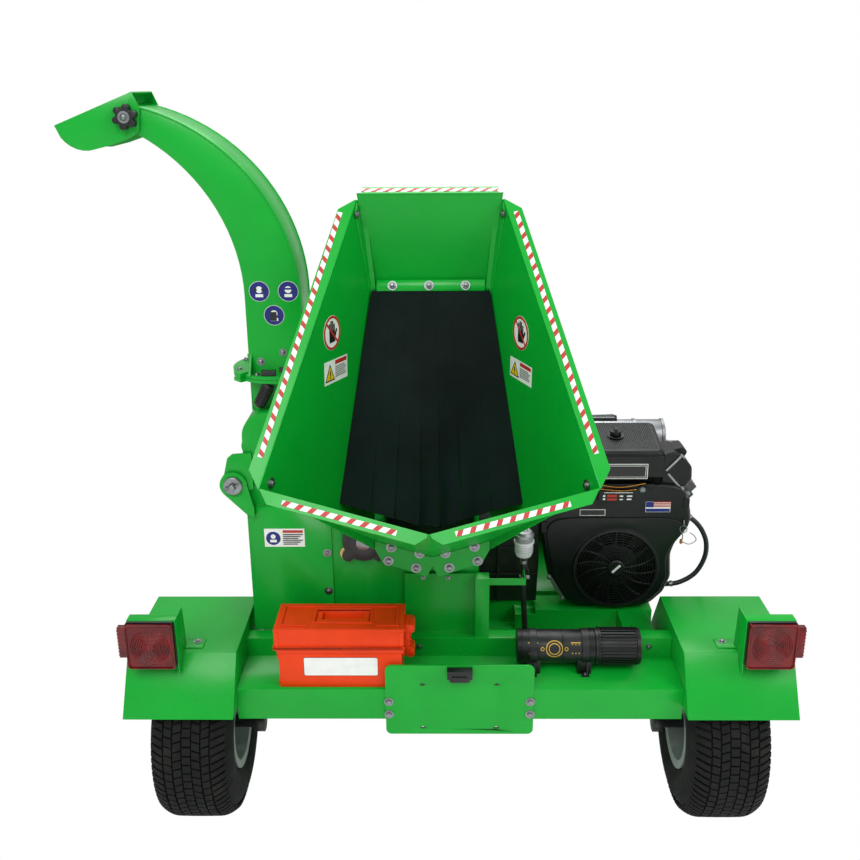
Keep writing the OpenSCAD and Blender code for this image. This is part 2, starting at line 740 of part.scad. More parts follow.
module discharge_chute() {
    color(green) union() {
        difference() {
            plate_xz(chute_y - chute_d / 2, chute_d) polygon(chute_outline(0));
            plate_xz(chute_y - chute_d / 2 + 4, chute_d - 8) polygon(concat(
                [[chute_x - chute_w / 2 + 4, swivel_z - 1], [chute_x + chute_w / 2 - 4, swivel_z - 1]],
                arc2([chute_x + chute_w / 2 - 455, 1324], 451, 0, 79, 20),
                [[chute_x - 340, 1790], [chute_x - 340, 1735]],
                arc2([chute_x - chute_w / 2 - 420, 1340], 424, 65, 0, 18)));
        }
        difference() {
            translate([chute_x, chute_y, swivel_z]) cylinder(r = swivel_r, h = 8);
            block([chute_x - chute_w / 2 + 4, chute_y - chute_d / 2 + 4, swivel_z - 1],
                [chute_x + chute_w / 2 - 4, chute_y + chute_d / 2 - 4, swivel_z + 9]);
        }
        // studs for the deflector
        translate([-737, chute_y - chute_d / 2 - 28, 1744]) cyl_y(5, 28.5);
        translate([-737, chute_y + chute_d / 2 - 0.5, 1744]) cyl_y(5, 22);
    }
}

module swivel_lock() {
    color(black) translate([-458, 50, 1124]) union() {
        cylinder(r = 6, h = 13.5);
        rotate([0, 28, 0]) translate([0, 0, -44]) cylinder(r = 15, h = 46);
    }
}

deflector_tip = [-900, 1727];
deflector_back = [-721, 1797];

module cheek(y) {
    plate_xz(y, 3) difference() {
        polygon(concat([deflector_tip, deflector_back, [-706, 1762], [-712, 1712], [-742, 1696], [-785, 1682]],
            [for (a = [0:5]) [-833, 1740] + 68 * [cos(-85 - 12 * a), sin(-85 - 12 * a)]]));
        translate([-737, 1744]) circle(5 + run);
    }
}

module deflector() {
    y0 = chute_y - chute_d / 2 - 7;
    y1 = chute_y + chute_d / 2 + 4;
    color(green) union() {
        cheek(y0);
        cheek(y1);
        plate_xz(y0, y1 + 3 - y0) polygon([deflector_tip, deflector_back, deflector_back + [1, -3], deflector_tip + [1, -3]]);
    }
}

module deflector_knob() {
    y0 = chute_y - chute_d / 2 - 26;
    color(black) plate_xz(y0, 18) translate([-737, 1744]) difference() {
        union() {
            circle(19);
            for (a = [0:60:300]) rotate(a + 18) translate([20, 0]) circle(8, $fn = 24);
        }
        circle(5 + run);
    }
}

// ---------------------------------------------------------------- engine and drive

module engine_block() {
    color([0.14, 0.14, 0.15]) difference() {
        union() {
            block([crank_x - 85, 302, deck_top + 10], [crank_x + 85, 590, crank_z + 70]);
            translate([crank_x, 302, crank_z]) cyl_y(95, 270);
            block([crank_x - 110, 320, deck_top + 10], [crank_x + 100, 570, deck_top + 24]);
        }
        translate([crank_x, 300, crank_z]) cyl_y(crank_r + run, 300);
    }
}

module finned_cylinder() {
    translate([0, 0, 99]) cylinder(r = 52, h = 135);
    for (i = [0:8]) translate([0, 0, 104 + 13 * i]) cylinder(r = 68, h = 5);
    translate([-55, -55, 224]) cube([110, 110, 50]);
    translate([-48, -48, 273]) cube([96, 96, 22]);
}

module cylinders() {
    color([0.3, 0.3, 0.31]) for (a = [-42, 42], y = [a < 0 ? 425 : 385]) difference() {
        translate([crank_x, y, crank_z]) rotate([0, a, 0]) finned_cylinder();
        translate([crank_x, 290, crank_z]) cyl_y(95.5, 320);
        block([crank_x - 86, 290, deck_top], [crank_x + 86, 620, crank_z + 70.5]);
    }
}

// Cover outline in X-Z, pulled towards its middle by inset.
module shroud_outline(inset) {
    middle = [430, 620];
    polygon([for (p = [[222, 678], [246, 543], [266, 495], [302, 457], [340, 441], [502, 441], [534, 453], [566, 486],
        [583, 531], [578, 600], [590, 642], [622, 680], [626, 712], [613, 767], [592, 800], [548, 806], [312, 806], [252, 796],
        [224, 752]]) p + (middle - p) * inset / norm(middle - p)]);
}

module blower_shroud() {
    color(black) difference() {
        plate_xz(shroud_y, 84) shroud_outline(0);
        plate_xz(shroud_y + 5, 80) shroud_outline(7);
        translate([crank_x, shroud_y - 1, crank_z]) cyl_y(fan_r, 10);
    }
}

module fan_guard() {
    color(black) translate([crank_x, shroud_y - 5, crank_z]) union() {
        for (i = [0:4]) difference() {
            cyl_y(fan_r + 6 - 21 * i, 4.5);
            translate([0, -1, 0]) cyl_y(fan_r + 2 - 21 * i, 7);
        }
        cyl_y(22, 4.5);
        for (a = [0:30:330]) rotate([0, a, 0]) translate([15, 0, -1.5]) cube([fan_r - 12, 4.5, 3]);
    }
}

module crankshaft() {
    color(steel) union() {
        translate([crank_x, 268, crank_z]) cyl_y(crank_r, 412);
        translate([crank_x, belt_y0 - 1, crank_z]) cyl_y(drive_r - 8, belt_y1 - belt_y0 + 2);
        for (y = [belt_y0 - 9, belt_y1 + 1]) translate([crank_x, y, crank_z]) cyl_y(drive_r + 6, 8);
    }
}

module cooling_fan() {
    color(black) translate([crank_x, 232, crank_z]) union() {
        cyl_y(60, 36);
        for (a = [0:30:330]) rotate([0, a, 0]) translate([50, 0, -2]) cube([fan_r - 58, 30, 4]);
    }
}

module air_cleaner() {
    color(black) plate_yz(310, 235) polygon([[222, 806], [222, 888], [236, 898], [400, 922], [404, 806]]);
}

module air_cleaner_knob() {
    color(black) translate([426, 310, 913]) union() {
        cylinder(r = 15, h = 12);
        translate([-4, -13, 12]) cube([8, 26, 8]);
    }
}

module muffler() {
    color(steel) translate([0, 470, 857]) union() {
        translate([330, 0, 0]) cyl_x(45, 258);
        translate([587, 0, -29]) cyl_x(12, 40);
    }
}

module throttle_lever() {
    color(black) translate([330, 214, 770]) union() {
        cyl_y(9, 3.5);
        translate([-4, -4, 0]) cube([8, 4, 34]);
        translate([-9, -9, 30]) cube([18, 9, 12]);
    }
}

module belt_run(grow) {
    hull() {
        translate([rotor_x, rotor_z]) circle(driven_r + grow);
        translate([crank_x, crank_z]) circle(drive_r + grow);
    }
}

module drive_belt() {
    color(rubber) plate_xz(belt_y0, belt_y1 - belt_y0) difference() {
        belt_run(5);
        belt_run(-7.5);
    }
}

module belt_guard() {
    color(green) difference() {
        plate_xz(belt_y0 - 18, 104) belt_run(38);
        plate_xz(belt_y0 - 19, 100) belt_run(34);
    }
}

module fuel_tank() {
    color(black) difference() {
        block([60, 710, deck_top + 2], [400, 890, 640]);
        translate([300, 800, 620]) cylinder(r = 28 + run, h = 30);
    }
}

module fuel_cap() {
    color(black) translate([300, 800, 621]) union() {
        cylinder(r = 28, h = 20);
        translate([0, 0, 20]) cylinder(r = 38, h = 20);
    }
}

module battery_box() {
    color(black) union() {
        block([-400, 730, deck_top + 2], [-130, 890, 610]);
        block([-408, 722, 605], [-122, 898, 632]);
    }
}

module fuel_filter() {
    color(white_paint) union() {
        translate([166, 64, 664]) cylinder(r = 22, h = 50);
        translate([166, 64, 700]) cylinder(r = 25, h = 10);
        translate([166, 64, 714]) cylinder(r = 20, h = 22);
        translate([166, 64, 470]) cylinder(r = 6, h = 196);
        translate([166, 64, 735]) cylinder(r = 5, h = 30);
        block([76, 2, 622], [170, 6, 646]);
        block([163, 2, 622], [169, 62, 646]);
    }
}

// ---------------------------------------------------------------- deck items

module toolbox_body() {
    color(orange) union() {
        difference() {
        block([box_x0 + 8, box_y0 + 6, deck_top], [box_x1 - 6, box_y1, box_seam]);
        block([box_x0 + 13, box_y0 + 11, deck_top + 5], [box_x1 - 11, box_y1 - 5, box_seam + 1]);
        }
        block([box_x1 - 7, -128, 500], [box_x1 + 0.3, -78, 522]);
    }
}

module toolbox_lid() {
    color(orange) difference() {
        block([box_x0, box_y0, box_seam + 0.5], [box_x1, box_y1, box_top]);
        block([box_x0 + 5, box_y0 + 5, box_seam], [box_x1 - 5, box_y1 - 5, box_top - 18]);
        block([-345, -130, box_top - 14], [-215, -70, box_top + 1]);
    }
    color(orange) translate([box_x0, -120, box_seam + 5]) cyl_y(5, 34);
}

module toolbox_handle() {
    color(orange) union() {
        for (x = [-343, -229]) {
            translate([x, -79, box_top - 7.5]) cyl_x(6, 12);
            block([x, -126, box_top - 11], [x + 12, -79, box_top - 3]);
        }
        block([-343, -128, box_top - 12], [-217, -114, box_top - 1]);
    }
}

module toolbox_latch() {
    color(orange) union() {
        block([box_x1 + 0.5, -128, 508], [box_x1 + 12, -78, 586]);
        translate([box_x1 + 14, -128, 575]) cyl_y(11, 50);
        translate([box_x1 + 14, -128, 508]) cyl_y(10, 50);
    }
}

module canister_body() {
    color(black) union() {
        translate([143, canister_y, canister_z]) cyl_x(canister_r, 190);
        for (x = [165, 290]) block([x, canister_y - 36, deck_top], [x + 34, canister_y + 36, canister_z - 20]);
    }
}

module canister_cap() {
    color(black) translate([334, canister_y, canister_z]) cyl_x(canister_r + 3, 110);
}

// Bolt heads and washers that show on the still parts, one separate solid each.
module fasteners() {
    color(steel) {
        for (x = [-170, 170], z = [404, 369]) bolt_back([x, beam_back - 5.1, z], 9);
        for (i = [-1, 1], u = [32, 100]) {
            bolt_back([hopper_x + i * u, throat_y - hopper_t - 0.1, floor_z(u, throat_y) - 18], 9);
            bolt_back([hopper_x + i * (u + 9), throat_y - hopper_t - 0.1, floor_z(u, throat_y) - 44], 9);
        }
        for (z = [705, 599]) bolt_back([-328, housing_y0 - 5.1, z], 7);
        for (x = [-290, -100, 150, 480]) bolt_back([x, -ledge_y - 0.1, 462], 6);
        both() translate([640, -94, fender_top + 3.1]) bolt_head(6);
    }
}

// Everything above is measured from the axle; this moves it to the middle of the overall length and width.
module placed() { translate([50, -673.695, 0]) children(); }

placed() chassis();
placed() drawbar();
placed() coupler();
placed() coupler_latch();
placed() prop_leg();
placed() prop_handle();
placed() axle_tube();
placed() left_suspension_arm();
placed() right_suspension_arm();
placed() left_rim();
placed() left_tyre();
placed() right_rim();
placed() right_tyre();
placed() fenders();
placed() plate_bracket();
placed() plate_lamp();
placed() lamp_housings();
placed() lamp_lenses();
placed() lower_housing();
placed() upper_housing();
placed() hinge_pin();
placed() access_panel();
placed() rotor_shaft();
placed() rotor_disc();
placed() rotor_knives();
placed() bed_knife();
placed() bearings();
placed() hopper_left_side();
placed() hopper_right_side();
placed() hopper_floor();
placed() hopper_back();
placed() curtain_clamp();
placed() curtain();
placed() discharge_chute();
placed() swivel_lock();
placed() deflector();
placed() deflector_knob();
placed() engine_block();
placed() cylinders();
placed() blower_shroud();
placed() fan_guard();
placed() crankshaft();
placed() cooling_fan();
placed() air_cleaner();
placed() air_cleaner_knob();
placed() muffler();
placed() throttle_lever();
placed() drive_belt();
placed() belt_guard();
placed() fuel_tank();
placed() fuel_cap();
placed() battery_box();
placed() fuel_filter();
placed() toolbox_body();
placed() toolbox_lid();
placed() toolbox_handle();
placed() toolbox_latch();
placed() canister_body();
placed() canister_cap();
placed() fasteners();
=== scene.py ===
"""Looks for the towable wood chipper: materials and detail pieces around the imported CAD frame. Metres."""
import json
import random
from math import cos, pi, radians, sin
import bmesh
import bpy
from mathutils import Matrix, Vector


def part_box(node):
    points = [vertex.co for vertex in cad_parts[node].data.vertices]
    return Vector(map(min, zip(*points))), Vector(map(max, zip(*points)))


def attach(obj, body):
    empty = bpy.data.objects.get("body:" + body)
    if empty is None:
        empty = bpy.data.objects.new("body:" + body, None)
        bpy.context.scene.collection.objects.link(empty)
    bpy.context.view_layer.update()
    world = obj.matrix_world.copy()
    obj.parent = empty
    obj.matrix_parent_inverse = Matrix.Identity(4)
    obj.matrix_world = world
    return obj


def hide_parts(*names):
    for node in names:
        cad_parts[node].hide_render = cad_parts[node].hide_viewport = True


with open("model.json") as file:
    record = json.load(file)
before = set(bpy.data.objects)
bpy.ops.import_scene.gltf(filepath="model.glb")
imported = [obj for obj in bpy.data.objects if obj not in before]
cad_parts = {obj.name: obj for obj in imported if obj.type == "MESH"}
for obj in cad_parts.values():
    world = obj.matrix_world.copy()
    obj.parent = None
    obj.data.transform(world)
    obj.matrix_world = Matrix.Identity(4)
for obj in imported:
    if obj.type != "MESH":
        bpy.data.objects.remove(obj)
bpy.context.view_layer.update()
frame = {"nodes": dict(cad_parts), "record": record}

random.seed(7)
MM = 0.001
NODES = frame["nodes"]


def middle(node, k):
    lo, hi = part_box(node)
    return (lo[k] + hi[k]) / 2


# Pieces are placed in millimetres from the ground under the axle, on the trailer's centre plane.
HOME = Vector((middle("coupler", 0), middle("left_tyre", 1) + 0.010, 0))

# directions: across the trailer, towards its coupler, up, and towards the feed end
ACROSS, AHEAD, UP, REAR = (1, 0, 0), (0, 1, 0), (0, 0, 1), (0, -1, 0)
# into the hopper from its left and right side panels
IN_LEFT, IN_RIGHT = (0.927, -0.375, 0), (-0.927, -0.375, 0)
SIDES = ((-1, "left"), (1, "right"))
# points on turning or round parts: fan and crankshaft, document canister, housing hinge
FAN, CANISTER, HINGE = (430, 0, 564), (0, -66, 492), (-547, 0, 892)

# ---- materials


def linear(hex_rgb):
    """Scene-linear colour of an sRGB hex string."""
    parts = [int(hex_rgb[i:i + 2], 16) / 255 for i in (0, 2, 4)]
    return tuple(p / 12.92 if p < 0.04045 else ((p + 0.055) / 1.055) ** 2.4 for p in parts) + (1,)


class Shader:
    """A node material with object-space noise for colour, roughness and bump."""

    def __init__(self, name, colour, rough=0.5, metal=0.0, coat=0.0, coat_rough=0.1, spec=0.5):
        self.mat = bpy.data.materials.new(name)
        self.mat.use_nodes = True
        self.mat.diffuse_color = colour
        self.tree = self.mat.node_tree
        self.bsdf = self.tree.nodes["Principled BSDF"]
        self.base = self.bsdf.inputs["Base Color"]
        self.set("Base Color", colour)
        self.set("Roughness", rough)
        self.set("Metallic", metal)
        self.set("Coat Weight", coat)
        self.set("Coat Roughness", coat_rough)
        self.set("Specular IOR Level", spec)
        self.where = self.node("ShaderNodeTexCoord").outputs["Object"]

    def set(self, name, value):
        self.bsdf.inputs[name].default_value = value

    def node(self, kind, **values):
        n = self.tree.nodes.new(kind)
        for key, value in values.items():
            if key in n.inputs:
                n.inputs[key].default_value = value
            else:
                setattr(n, key, value)
        return n

    def link(self, a, b):
        self.tree.links.new(a, b)

    def noise(self, scale, detail, stretch=None):
        n = self.node("ShaderNodeTexNoise", Scale=scale, Detail=detail)
        where = self.where
        if stretch:
            m = self.node("ShaderNodeMapping")
            m.inputs["Scale"].default_value = stretch
            self.link(where, m.inputs["Vector"])
            where = m.outputs[0]
        self.link(where, n.inputs["Vector"])
        return n.outputs["Fac"]

    def ramp(self, value, stops):
        """A colour ramp of two stops."""
        n = self.node("ShaderNodeValToRGB")
        for e, (at, colour) in zip(n.color_ramp.elements, stops):
            e.position = at
            e.color = colour if len(colour) == 4 else (*colour, 1)
        self.link(value, n.inputs["Fac"])
        return n.outputs["Color"]

    def vary(self, low, high, scale, stretch=None):
        """Colour wanders between low and high."""
        out = self.ramp(self.noise(scale, 4, stretch), [(0.35, low), (0.65, high)])
        self.link(out, self.base)

    def vary_roughness(self, low, high, scale, stretch=None):
        out = self.ramp(self.noise(scale, 5, stretch), [(0.3, (low,) * 3), (0.7, (high,) * 3)])
        self.link(out, self.bsdf.inputs["Roughness"])

    def bump(self, height, strength, distance=0.001):
        n = self.node("ShaderNodeBump", Strength=strength, Distance=distance)
        self.link(height, n.inputs["Height"])
        self.link(n.outputs[0], self.bsdf.inputs["Normal"])
        return self

    def cover(self, mask, colour):
        """Lay another colour over the base where mask is 1."""
        mix = self.node("ShaderNodeMix", data_type="RGBA")
        self.link(mask, mix.inputs["Factor"])
        self.link(self.base.links[0].from_socket, mix.inputs["A"])
        mix.inputs["B"].default_value = colour
        self.link(mix.outputs["Result"], self.base)
        return self


def mul(colour, k):
    return tuple(c * k for c in colour[:3]) + (1,)


def grained(name, colour, rough, scale=60, metal=0.0, coat=0.0, bump=0.15, grain=700, spread=0.12, spec=0.5,
        stretch=None):
    """A finish whose colour and roughness wander a little; colour is linear or an sRGB hex string."""
    colour = linear(colour) if isinstance(colour, str) else colour
    s = Shader(name, colour, rough, metal, coat, spec=spec)
    s.vary(mul(colour, 1 - spread), mul(colour, 1 + spread), scale, stretch)
    s.vary_roughness(max(0.02, rough - 0.07), min(1, rough + 0.09), scale * 1.7, stretch)
    s.bump(s.noise(grain, 3, stretch), bump, 0.0006)
    return s


def vinyl(name, colour, rough, spread=0.12, metal=0.0):
    return grained(name, colour, rough, 40, metal=metal, bump=0.03, spread=spread)


def dusty(s, amount=0.25, colour=(0.25, 0.22, 0.17, 1)):
    """A thin film of wood dust in soft patches."""
    spots = s.ramp(s.noise(14, 8), [(0.52, (0, 0, 0)), (0.78, (amount,) * 3)])
    return s.cover(spots, colour)


GREEN = grained("green_powder_coat", (0.002, 0.345, 0.027, 1), 0.34, 7, coat=0.12, bump=0.05, grain=520,
    spread=0.04, spec=0.25)
GREEN.set("Coat Roughness", 0.16)
BLACK_STEEL = dusty(grained("black_steel", "121315", 0.42, 12, coat=0.2, bump=0.12), 0.12)
# the rims are a light silver grey; the green in their tone is the surrounding green paint reflected, painted
# into the colour: painted reflection
RIM = dusty(grained("rim_paint", "7d8884", 0.36, 10, coat=0.3, bump=0.08, spread=0.05), 0.2)
TYRE = dusty(grained("tyre_rubber", "101111", 0.8, 18, bump=0.4, grain=900, spec=0.25), 0.05)
ZINC = grained("zinc_plate", "8e9294", 0.38, 40, metal=1, bump=0.10, grain=900)
YELLOW_ZINC = grained("yellow_zinc", "c9b27a", 0.33, 40, metal=1, bump=0.10, grain=900)
BARE = grained("bare_steel", "8d8f90", 0.36, 30, metal=1, bump=0.2, grain=500, stretch=(1, 1, 14))
GALV = grained("aluminised_steel", "9a9d9f", 0.42, 25, metal=1, bump=0.12, grain=300)
IRON = grained("cast_iron", "3a3b3c", 0.60, 25, metal=0.3, bump=0.6, grain=420)
ALLOY = grained("cast_aluminium", "4a4b4c", 0.50, 30, metal=0.7, bump=0.4, grain=420)
PLASTIC = grained("black_plastic", "0e0f11", 0.42, 20, bump=0.22, grain=1500, spread=0.08)
SATIN = grained("moulded_black", "0d0f11", 0.36, 9, bump=0.16, grain=1700, spread=0.06, spec=0.35)
RIBBED = grained("ribbed_black", "202326", 0.50, 14, bump=0.2, grain=1400)
HOSE = grained("hose_rubber", "141516", 0.46, 20, bump=0.15)
CURTAIN = grained("curtain_rubber", "061512", 0.62, 6, bump=0.3, grain=260, spread=0.3, spec=0.09)
ORANGE = grained("orange_plastic", "e23c06", 0.42, 16, bump=0.16, grain=1300, spread=0.05, spec=0.25)
FILTER = grained("filter_plastic", "c9cccd", 0.18, 30, bump=0.05)
WHITE = vinyl("white_vinyl", "e6e8e4", 0.5, 0.03)
RED = vinyl("red_vinyl", "b22a20", 0.5, 0.05)
DARK = vinyl("dark_vinyl", "1a1a1a", 0.40)
BLUE = vinyl("blue_vinyl", "0c1673", 0.45, 0.05)
YELLOW = vinyl("yellow_vinyl", "e9c51c", 0.38, 0.05)
GREY = vinyl("grey_vinyl", "9a9d9c", 0.42)
GOLD = vinyl("gold_print", "c9a545", 0.38, metal=0.5)
AMBER = grained("brass_tip", "b87f35", 0.3, 40, metal=1, bump=0.05)


def lens_material():
    s = Shader("red_lens", linear("5e0708"), 0.25, coat=0.1, coat_rough=0.08, spec=0.3)
    s.vary(linear("4c0406"), linear("72090b"), 30)
    wave = s.node("ShaderNodeTexWave", Scale=170.0, wave_type="BANDS")
    wave.bands_direction = "X"
    s.link(s.where, wave.inputs["Vector"])
    return s.bump(wave.outputs["Fac"], 0.35, 0.001)


LENS = lens_material()

# ---- mesh helpers

# the finish of each slot in the record, and the slot of each finish
SLOT_SHADERS = {"green_paint": GREEN, "black_steel": BLACK_STEEL, "rim_paint": RIM, "tyre_rubber": TYRE,
    "zinc_steel": ZINC, "bare_steel": BARE, "cast_iron": IRON, "cast_aluminium": ALLOY,
    "black_plastic": PLASTIC, "red_lens": LENS, "curtain_rubber": HOSE, "filter_plastic": FILTER,
    "orange_plastic": ORANGE,}
DEFAULT_SLOT = {shader: slot for slot, shader in SLOT_SHADERS.items()}
DEFAULT_SLOT.update({SATIN: "black_steel", RIBBED: "black_plastic", HOSE: "black_plastic", GALV: "zinc_steel",
    AMBER: "zinc_steel", CURTAIN: "curtain_rubber"})


def merge(parts):
    """Join several (verts, faces) pairs into one."""
    verts, faces = [], []
    for v, f in parts:
        k = len(verts)
        verts += list(v)
        faces += [[k + i for i in face] for face in f]
    return verts, faces


def put(name, data):
    obj = bpy.data.objects.new(name, data)
    bpy.context.scene.collection.objects.link(obj)
    return obj


def round_edges(obj, width_mm, segments, angle):
    edge = obj.modifiers.new("edge", "BEVEL")
    edge.width = width_mm * MM
    edge.segments = segments
    edge.limit_method = "ANGLE"
    edge.angle_limit = radians(angle)
    edge.harden_normals = True


def make(name, solid, shader, body="frame", bevel=0.0, segments=2, smooth=False):
    """A mesh piece from one (verts, faces) pair or a list of them; sizes and bevel in millimetres."""
    verts, faces = merge(solid) if isinstance(solid, list) else solid
    mesh = bpy.data.meshes.new(name)
    mesh.from_pydata([Vector(v) * MM + HOME for v in verts], [], faces)
    mesh.validate()
    bm = bmesh.new()
    bm.from_mesh(mesh)
    bmesh.ops.remove_doubles(bm, verts=bm.verts, dist=1e-6)
    bmesh.ops.recalc_face_normals(bm, faces=bm.faces)
    bm.to_mesh(mesh)
    bm.free()
    obj = put(name, mesh)
    mesh.materials.append(shader.mat)
    if bevel:
        round_edges(obj, bevel, segments, 35)
    if bevel or smooth:
        mesh.shade_smooth()
    if smooth and not bevel:
        obj.modifiers.new("normals", "WEIGHTED_NORMAL").keep_sharp = True
    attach(obj, body)
    return obj


def prism(outline, depth, place):
    """Verts and faces of an outline extruded by depth; place maps (u, v, w) to a point."""
    n = len(outline)
    verts = [place(u, v, 0) for u, v in outline] + [place(u, v, depth) for u, v in outline]
    faces = [list(range(n))[::-1], [n + i for i in range(n)]]
    faces += [[i, (i + 1) % n, n + (i + 1) % n, n + i] for i in range(n)]
    return verts, faces


def box(x0, y0, z0, x1, y1, z1):
    return prism([(x0, y0), (x1, y0), (x1, y1), (x0, y1)], z1 - z0, lambda u, v, w: (u, v, z0 + w))


def xz(y):
    """Places an outline drawn in X-Z at depth y, growing towards the feed end."""
    return lambda u, v, w: (u, y - w, v)


def facing(y):
    """Places an outline drawn in X-Z on a face that looks to the feed end."""
    return axes((0, y, 0), ACROSS, UP)


def axes(origin, u_dir, v_dir):
    """Places an outline in the plane of two directions; depth grows along their cross product."""
    o, u, v = Vector(origin), Vector(u_dir).normalized(), Vector(v_dir).normalized()
    n = u.cross(v)
    return lambda a, b, w: tuple(o + a * u + b * v + w * n)


def orbit(cx, cy, r, a):
    """The point at angle a on a circle."""
    return cx + r * cos(a), cy + r * sin(a)


def round_rect(w, h, r, n=5):
    pts = []
    for cx, cy, a in ((w / 2 - r, h / 2 - r, 0), (r - w / 2, h / 2 - r, 90), (r - w / 2, r - h / 2, 180),
            (w / 2 - r, r - h / 2, 270)):
        for i in range(n + 1):
            pts.append(orbit(cx, cy, r, radians(a + 90 * i / n)))
    return pts


def lathe(profile, origin, axis, n=48, closed=False):
    """Revolves [(radius, along)] about an axis."""
    axis = Vector(axis).normalized()
    side = axis.orthogonal().normalized()
    up = axis.cross(side)
    verts, faces, m = [], [], len(profile)
    for i in range(n):
        t = 2 * pi * i / n
        d = side * cos(t) + up * sin(t)
        verts += [tuple(Vector(origin) + d * r + axis * a) for r, a in profile]
    last = m if closed else m - 1
    for i in range(n):
        j = (i + 1) % n
        for k in range(last):
            l = (k + 1) % m
            faces.append([i * m + k, i * m + l, j * m + l, j * m + k])
    if not closed:
        if profile[0][0] > 1e-6:
            faces.append([i * m for i in range(n)][::-1])
        if profile[-1][0] > 1e-6:
            faces.append([i * m + m - 1 for i in range(n)])
    return verts, faces


def ring(r0, r1, a0, a1, origin, axis, n=48):
    """A ring of rectangular section between two radii and two heights along the axis."""
    return lathe([(r0, a0), (r1, a0), (r1, a1), (r0, a1)], origin, axis, n, True)


def disc(r, a0, a1, origin, axis, n=48):
    """A plain cylinder between two heights along the axis."""
    return lathe([(0, a0), (r, a0), (r, a1), (0, a1)], origin, axis, n)


def smooth_path(points, steps):
    """Catmull-Rom points through the given ones."""
    p = [Vector(q) for q in points]
    p = [2 * p[0] - p[1]] + p + [2 * p[-1] - p[-2]]
    out = []
    for i in range(1, len(p) - 2):
        for s in range(steps):
            t = s / steps
            a, b, c, d = p[i - 1], p[i], p[i + 1], p[i + 2]
            out.append(0.5 * (2 * b + (c - a) * t + (2 * a - 5 * b + 4 * c - d) * t * t
                + (3 * b - a - 3 * c + d) * t ** 3))
    return out + [p[-2]]


def tube(points, r, n=12, steps=8):
    """A capped tube along a smooth path."""
    path = smooth_path(points, steps) if steps else [Vector(q) for q in points]
    verts, faces = [], []
    ref = Vector((0.3, 0.2, 1)).normalized()
    for i, p in enumerate(path):
        d = (path[min(i + 1, len(path) - 1)] - path[max(i - 1, 0)]).normalized()
        u = d.cross(ref).normalized()
        ref = u.cross(d).normalized()
        for k in range(n):
            t = 2 * pi * k / n
            verts.append(tuple(p + r * (cos(t) * u + sin(t) * ref)))
    for i in range(len(path) - 1):
        for k in range(n):
            l = (k + 1) % n
            faces.append([i * n + k, i * n + l, (i + 1) * n + l, (i + 1) * n + k])
    m = (len(path) - 1) * n
    faces += [list(range(n))[::-1], [m + k for k in range(n)]]
    return verts, faces


def bolt(at, axis, d, washer=1.15):
    """Washer, flanged hex head and a chamfered top, standing on the face at `at`."""
    parts = [disc(washer * d, 0, 0.16 * d, at, axis, 28)]
    base = Vector(at) + Vector(axis).normalized() * 0.16 * d
    parts.append(lathe([(0, 0), (0.98 * d, 0), (0.9 * d, 0.12 * d), (0, 0.13 * d)], base, axis, 28))
    parts.append(lathe([(0, 0), (0.84 * d, 0.1 * d), (0.84 * d, 0.55 * d), (0.66 * d, 0.66 * d),
        (0, 0.67 * d)], base, axis, 6))
    return merge(parts)


def bolts(name, places, d, axis=REAR, body="frame", washer=1.15, shader=ZINC):
    """The same bolt head, of radius about d, at each place; `washer` is the washer's radius over d."""
    return make(name, [bolt(p, axis, d, washer) for p in places], shader, body, bevel=0.25, segments=1)


def replace(obj, node):
    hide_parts(node)
    return obj


# ---- finishes for the CAD nodes

NODE_SLOT = {s["node"]: s["material_slot"] for s in frame["record"]["subparts"]}
SPECIAL = {"muffler": GALV, "rotor_shaft": BARE, "crankshaft": BARE}
EDGE_MM = {"chassis": 2, "fenders": 1.2, "lower_housing": 1.6, "upper_housing": 1.6, "discharge_chute": 2.2,
    "belt_guard": 2, "fuel_tank": 14, "battery_box": 6, "canister_body": 2, "drawbar": 2.5, "coupler": 2,
    "engine_block": 3, "muffler": 5, "left_rim": 0.6, "right_rim": 0.6}
for node, obj in NODES.items():
    shader = SPECIAL.get(node) or SLOT_SHADERS[NODE_SLOT[node]]
    obj.data.materials.clear()
    obj.data.materials.append(shader.mat)
    # the hopper's thin sheets keep their packed edges
    if node.startswith("hopper_"):
        continue
    obj.modifiers.new("weld", "WELD").merge_threshold = 2e-5
    width = EDGE_MM.get(node, 0.8)
    round_edges(obj, width, 3 if width > 3 else 2, 38)
    obj.data.shade_smooth()

# ---- hopper

# how far a side panel runs in across the trailer for each millimetre towards the coupler
FLARE = 0.405
MOUTH = axes((-65, -527, 1009), ACROSS, (0, 0.640, 0.768))
TOP_EDGE = axes((-65, -55.5, 1588.9), ACROSS, (0, 26, 10))


def stripes(name, place, p0, p1, width, lean, pitch=26.0, share=0.42):
    """White tape with slanted red bars along the line p0 to p1."""
    start, d = Vector(p0), Vector(p1) - Vector(p0)
    length = d.length
    d.normalize()
    e = Vector((-d.y, d.x))

    def at(a, b):
        q = start + d * min(max(a, 0), length) + e * b
        return q.x, q.y

    w = width / 2
    proud = lambda u, v, h: place(u, v, h + 0.1)
    make(name + "_tape", prism([at(0, -w), at(length, -w), at(length, w), at(0, w)], 0.4, proud), WHITE)
    bars, a = [], 3.0
    while a < length - 4:
        bars.append(prism([at(a - lean, -w), at(a + share * pitch - lean, -w),
            at(a + share * pitch + lean, w), at(a + lean, w)], 0.7, proud))
        a += pitch
    make(name + "_bars", bars, RED)


stripes("lip_left", MOUTH, (-280, 62.5), (-61, 2.9), 11, 3.5)
stripes("lip_right", MOUTH, (50, 0.5), (268, 60.0), 11, 3.5)
stripes("side_left", MOUTH, (-327, 154), (-191, 706), 10.5, 4.0)
stripes("side_right", MOUTH, (322, 160), (183, 706), 10.5, -4.0)
stripes("top", TOP_EDGE, (-148, 13.5), (148, 13.5), 15, 8.0)

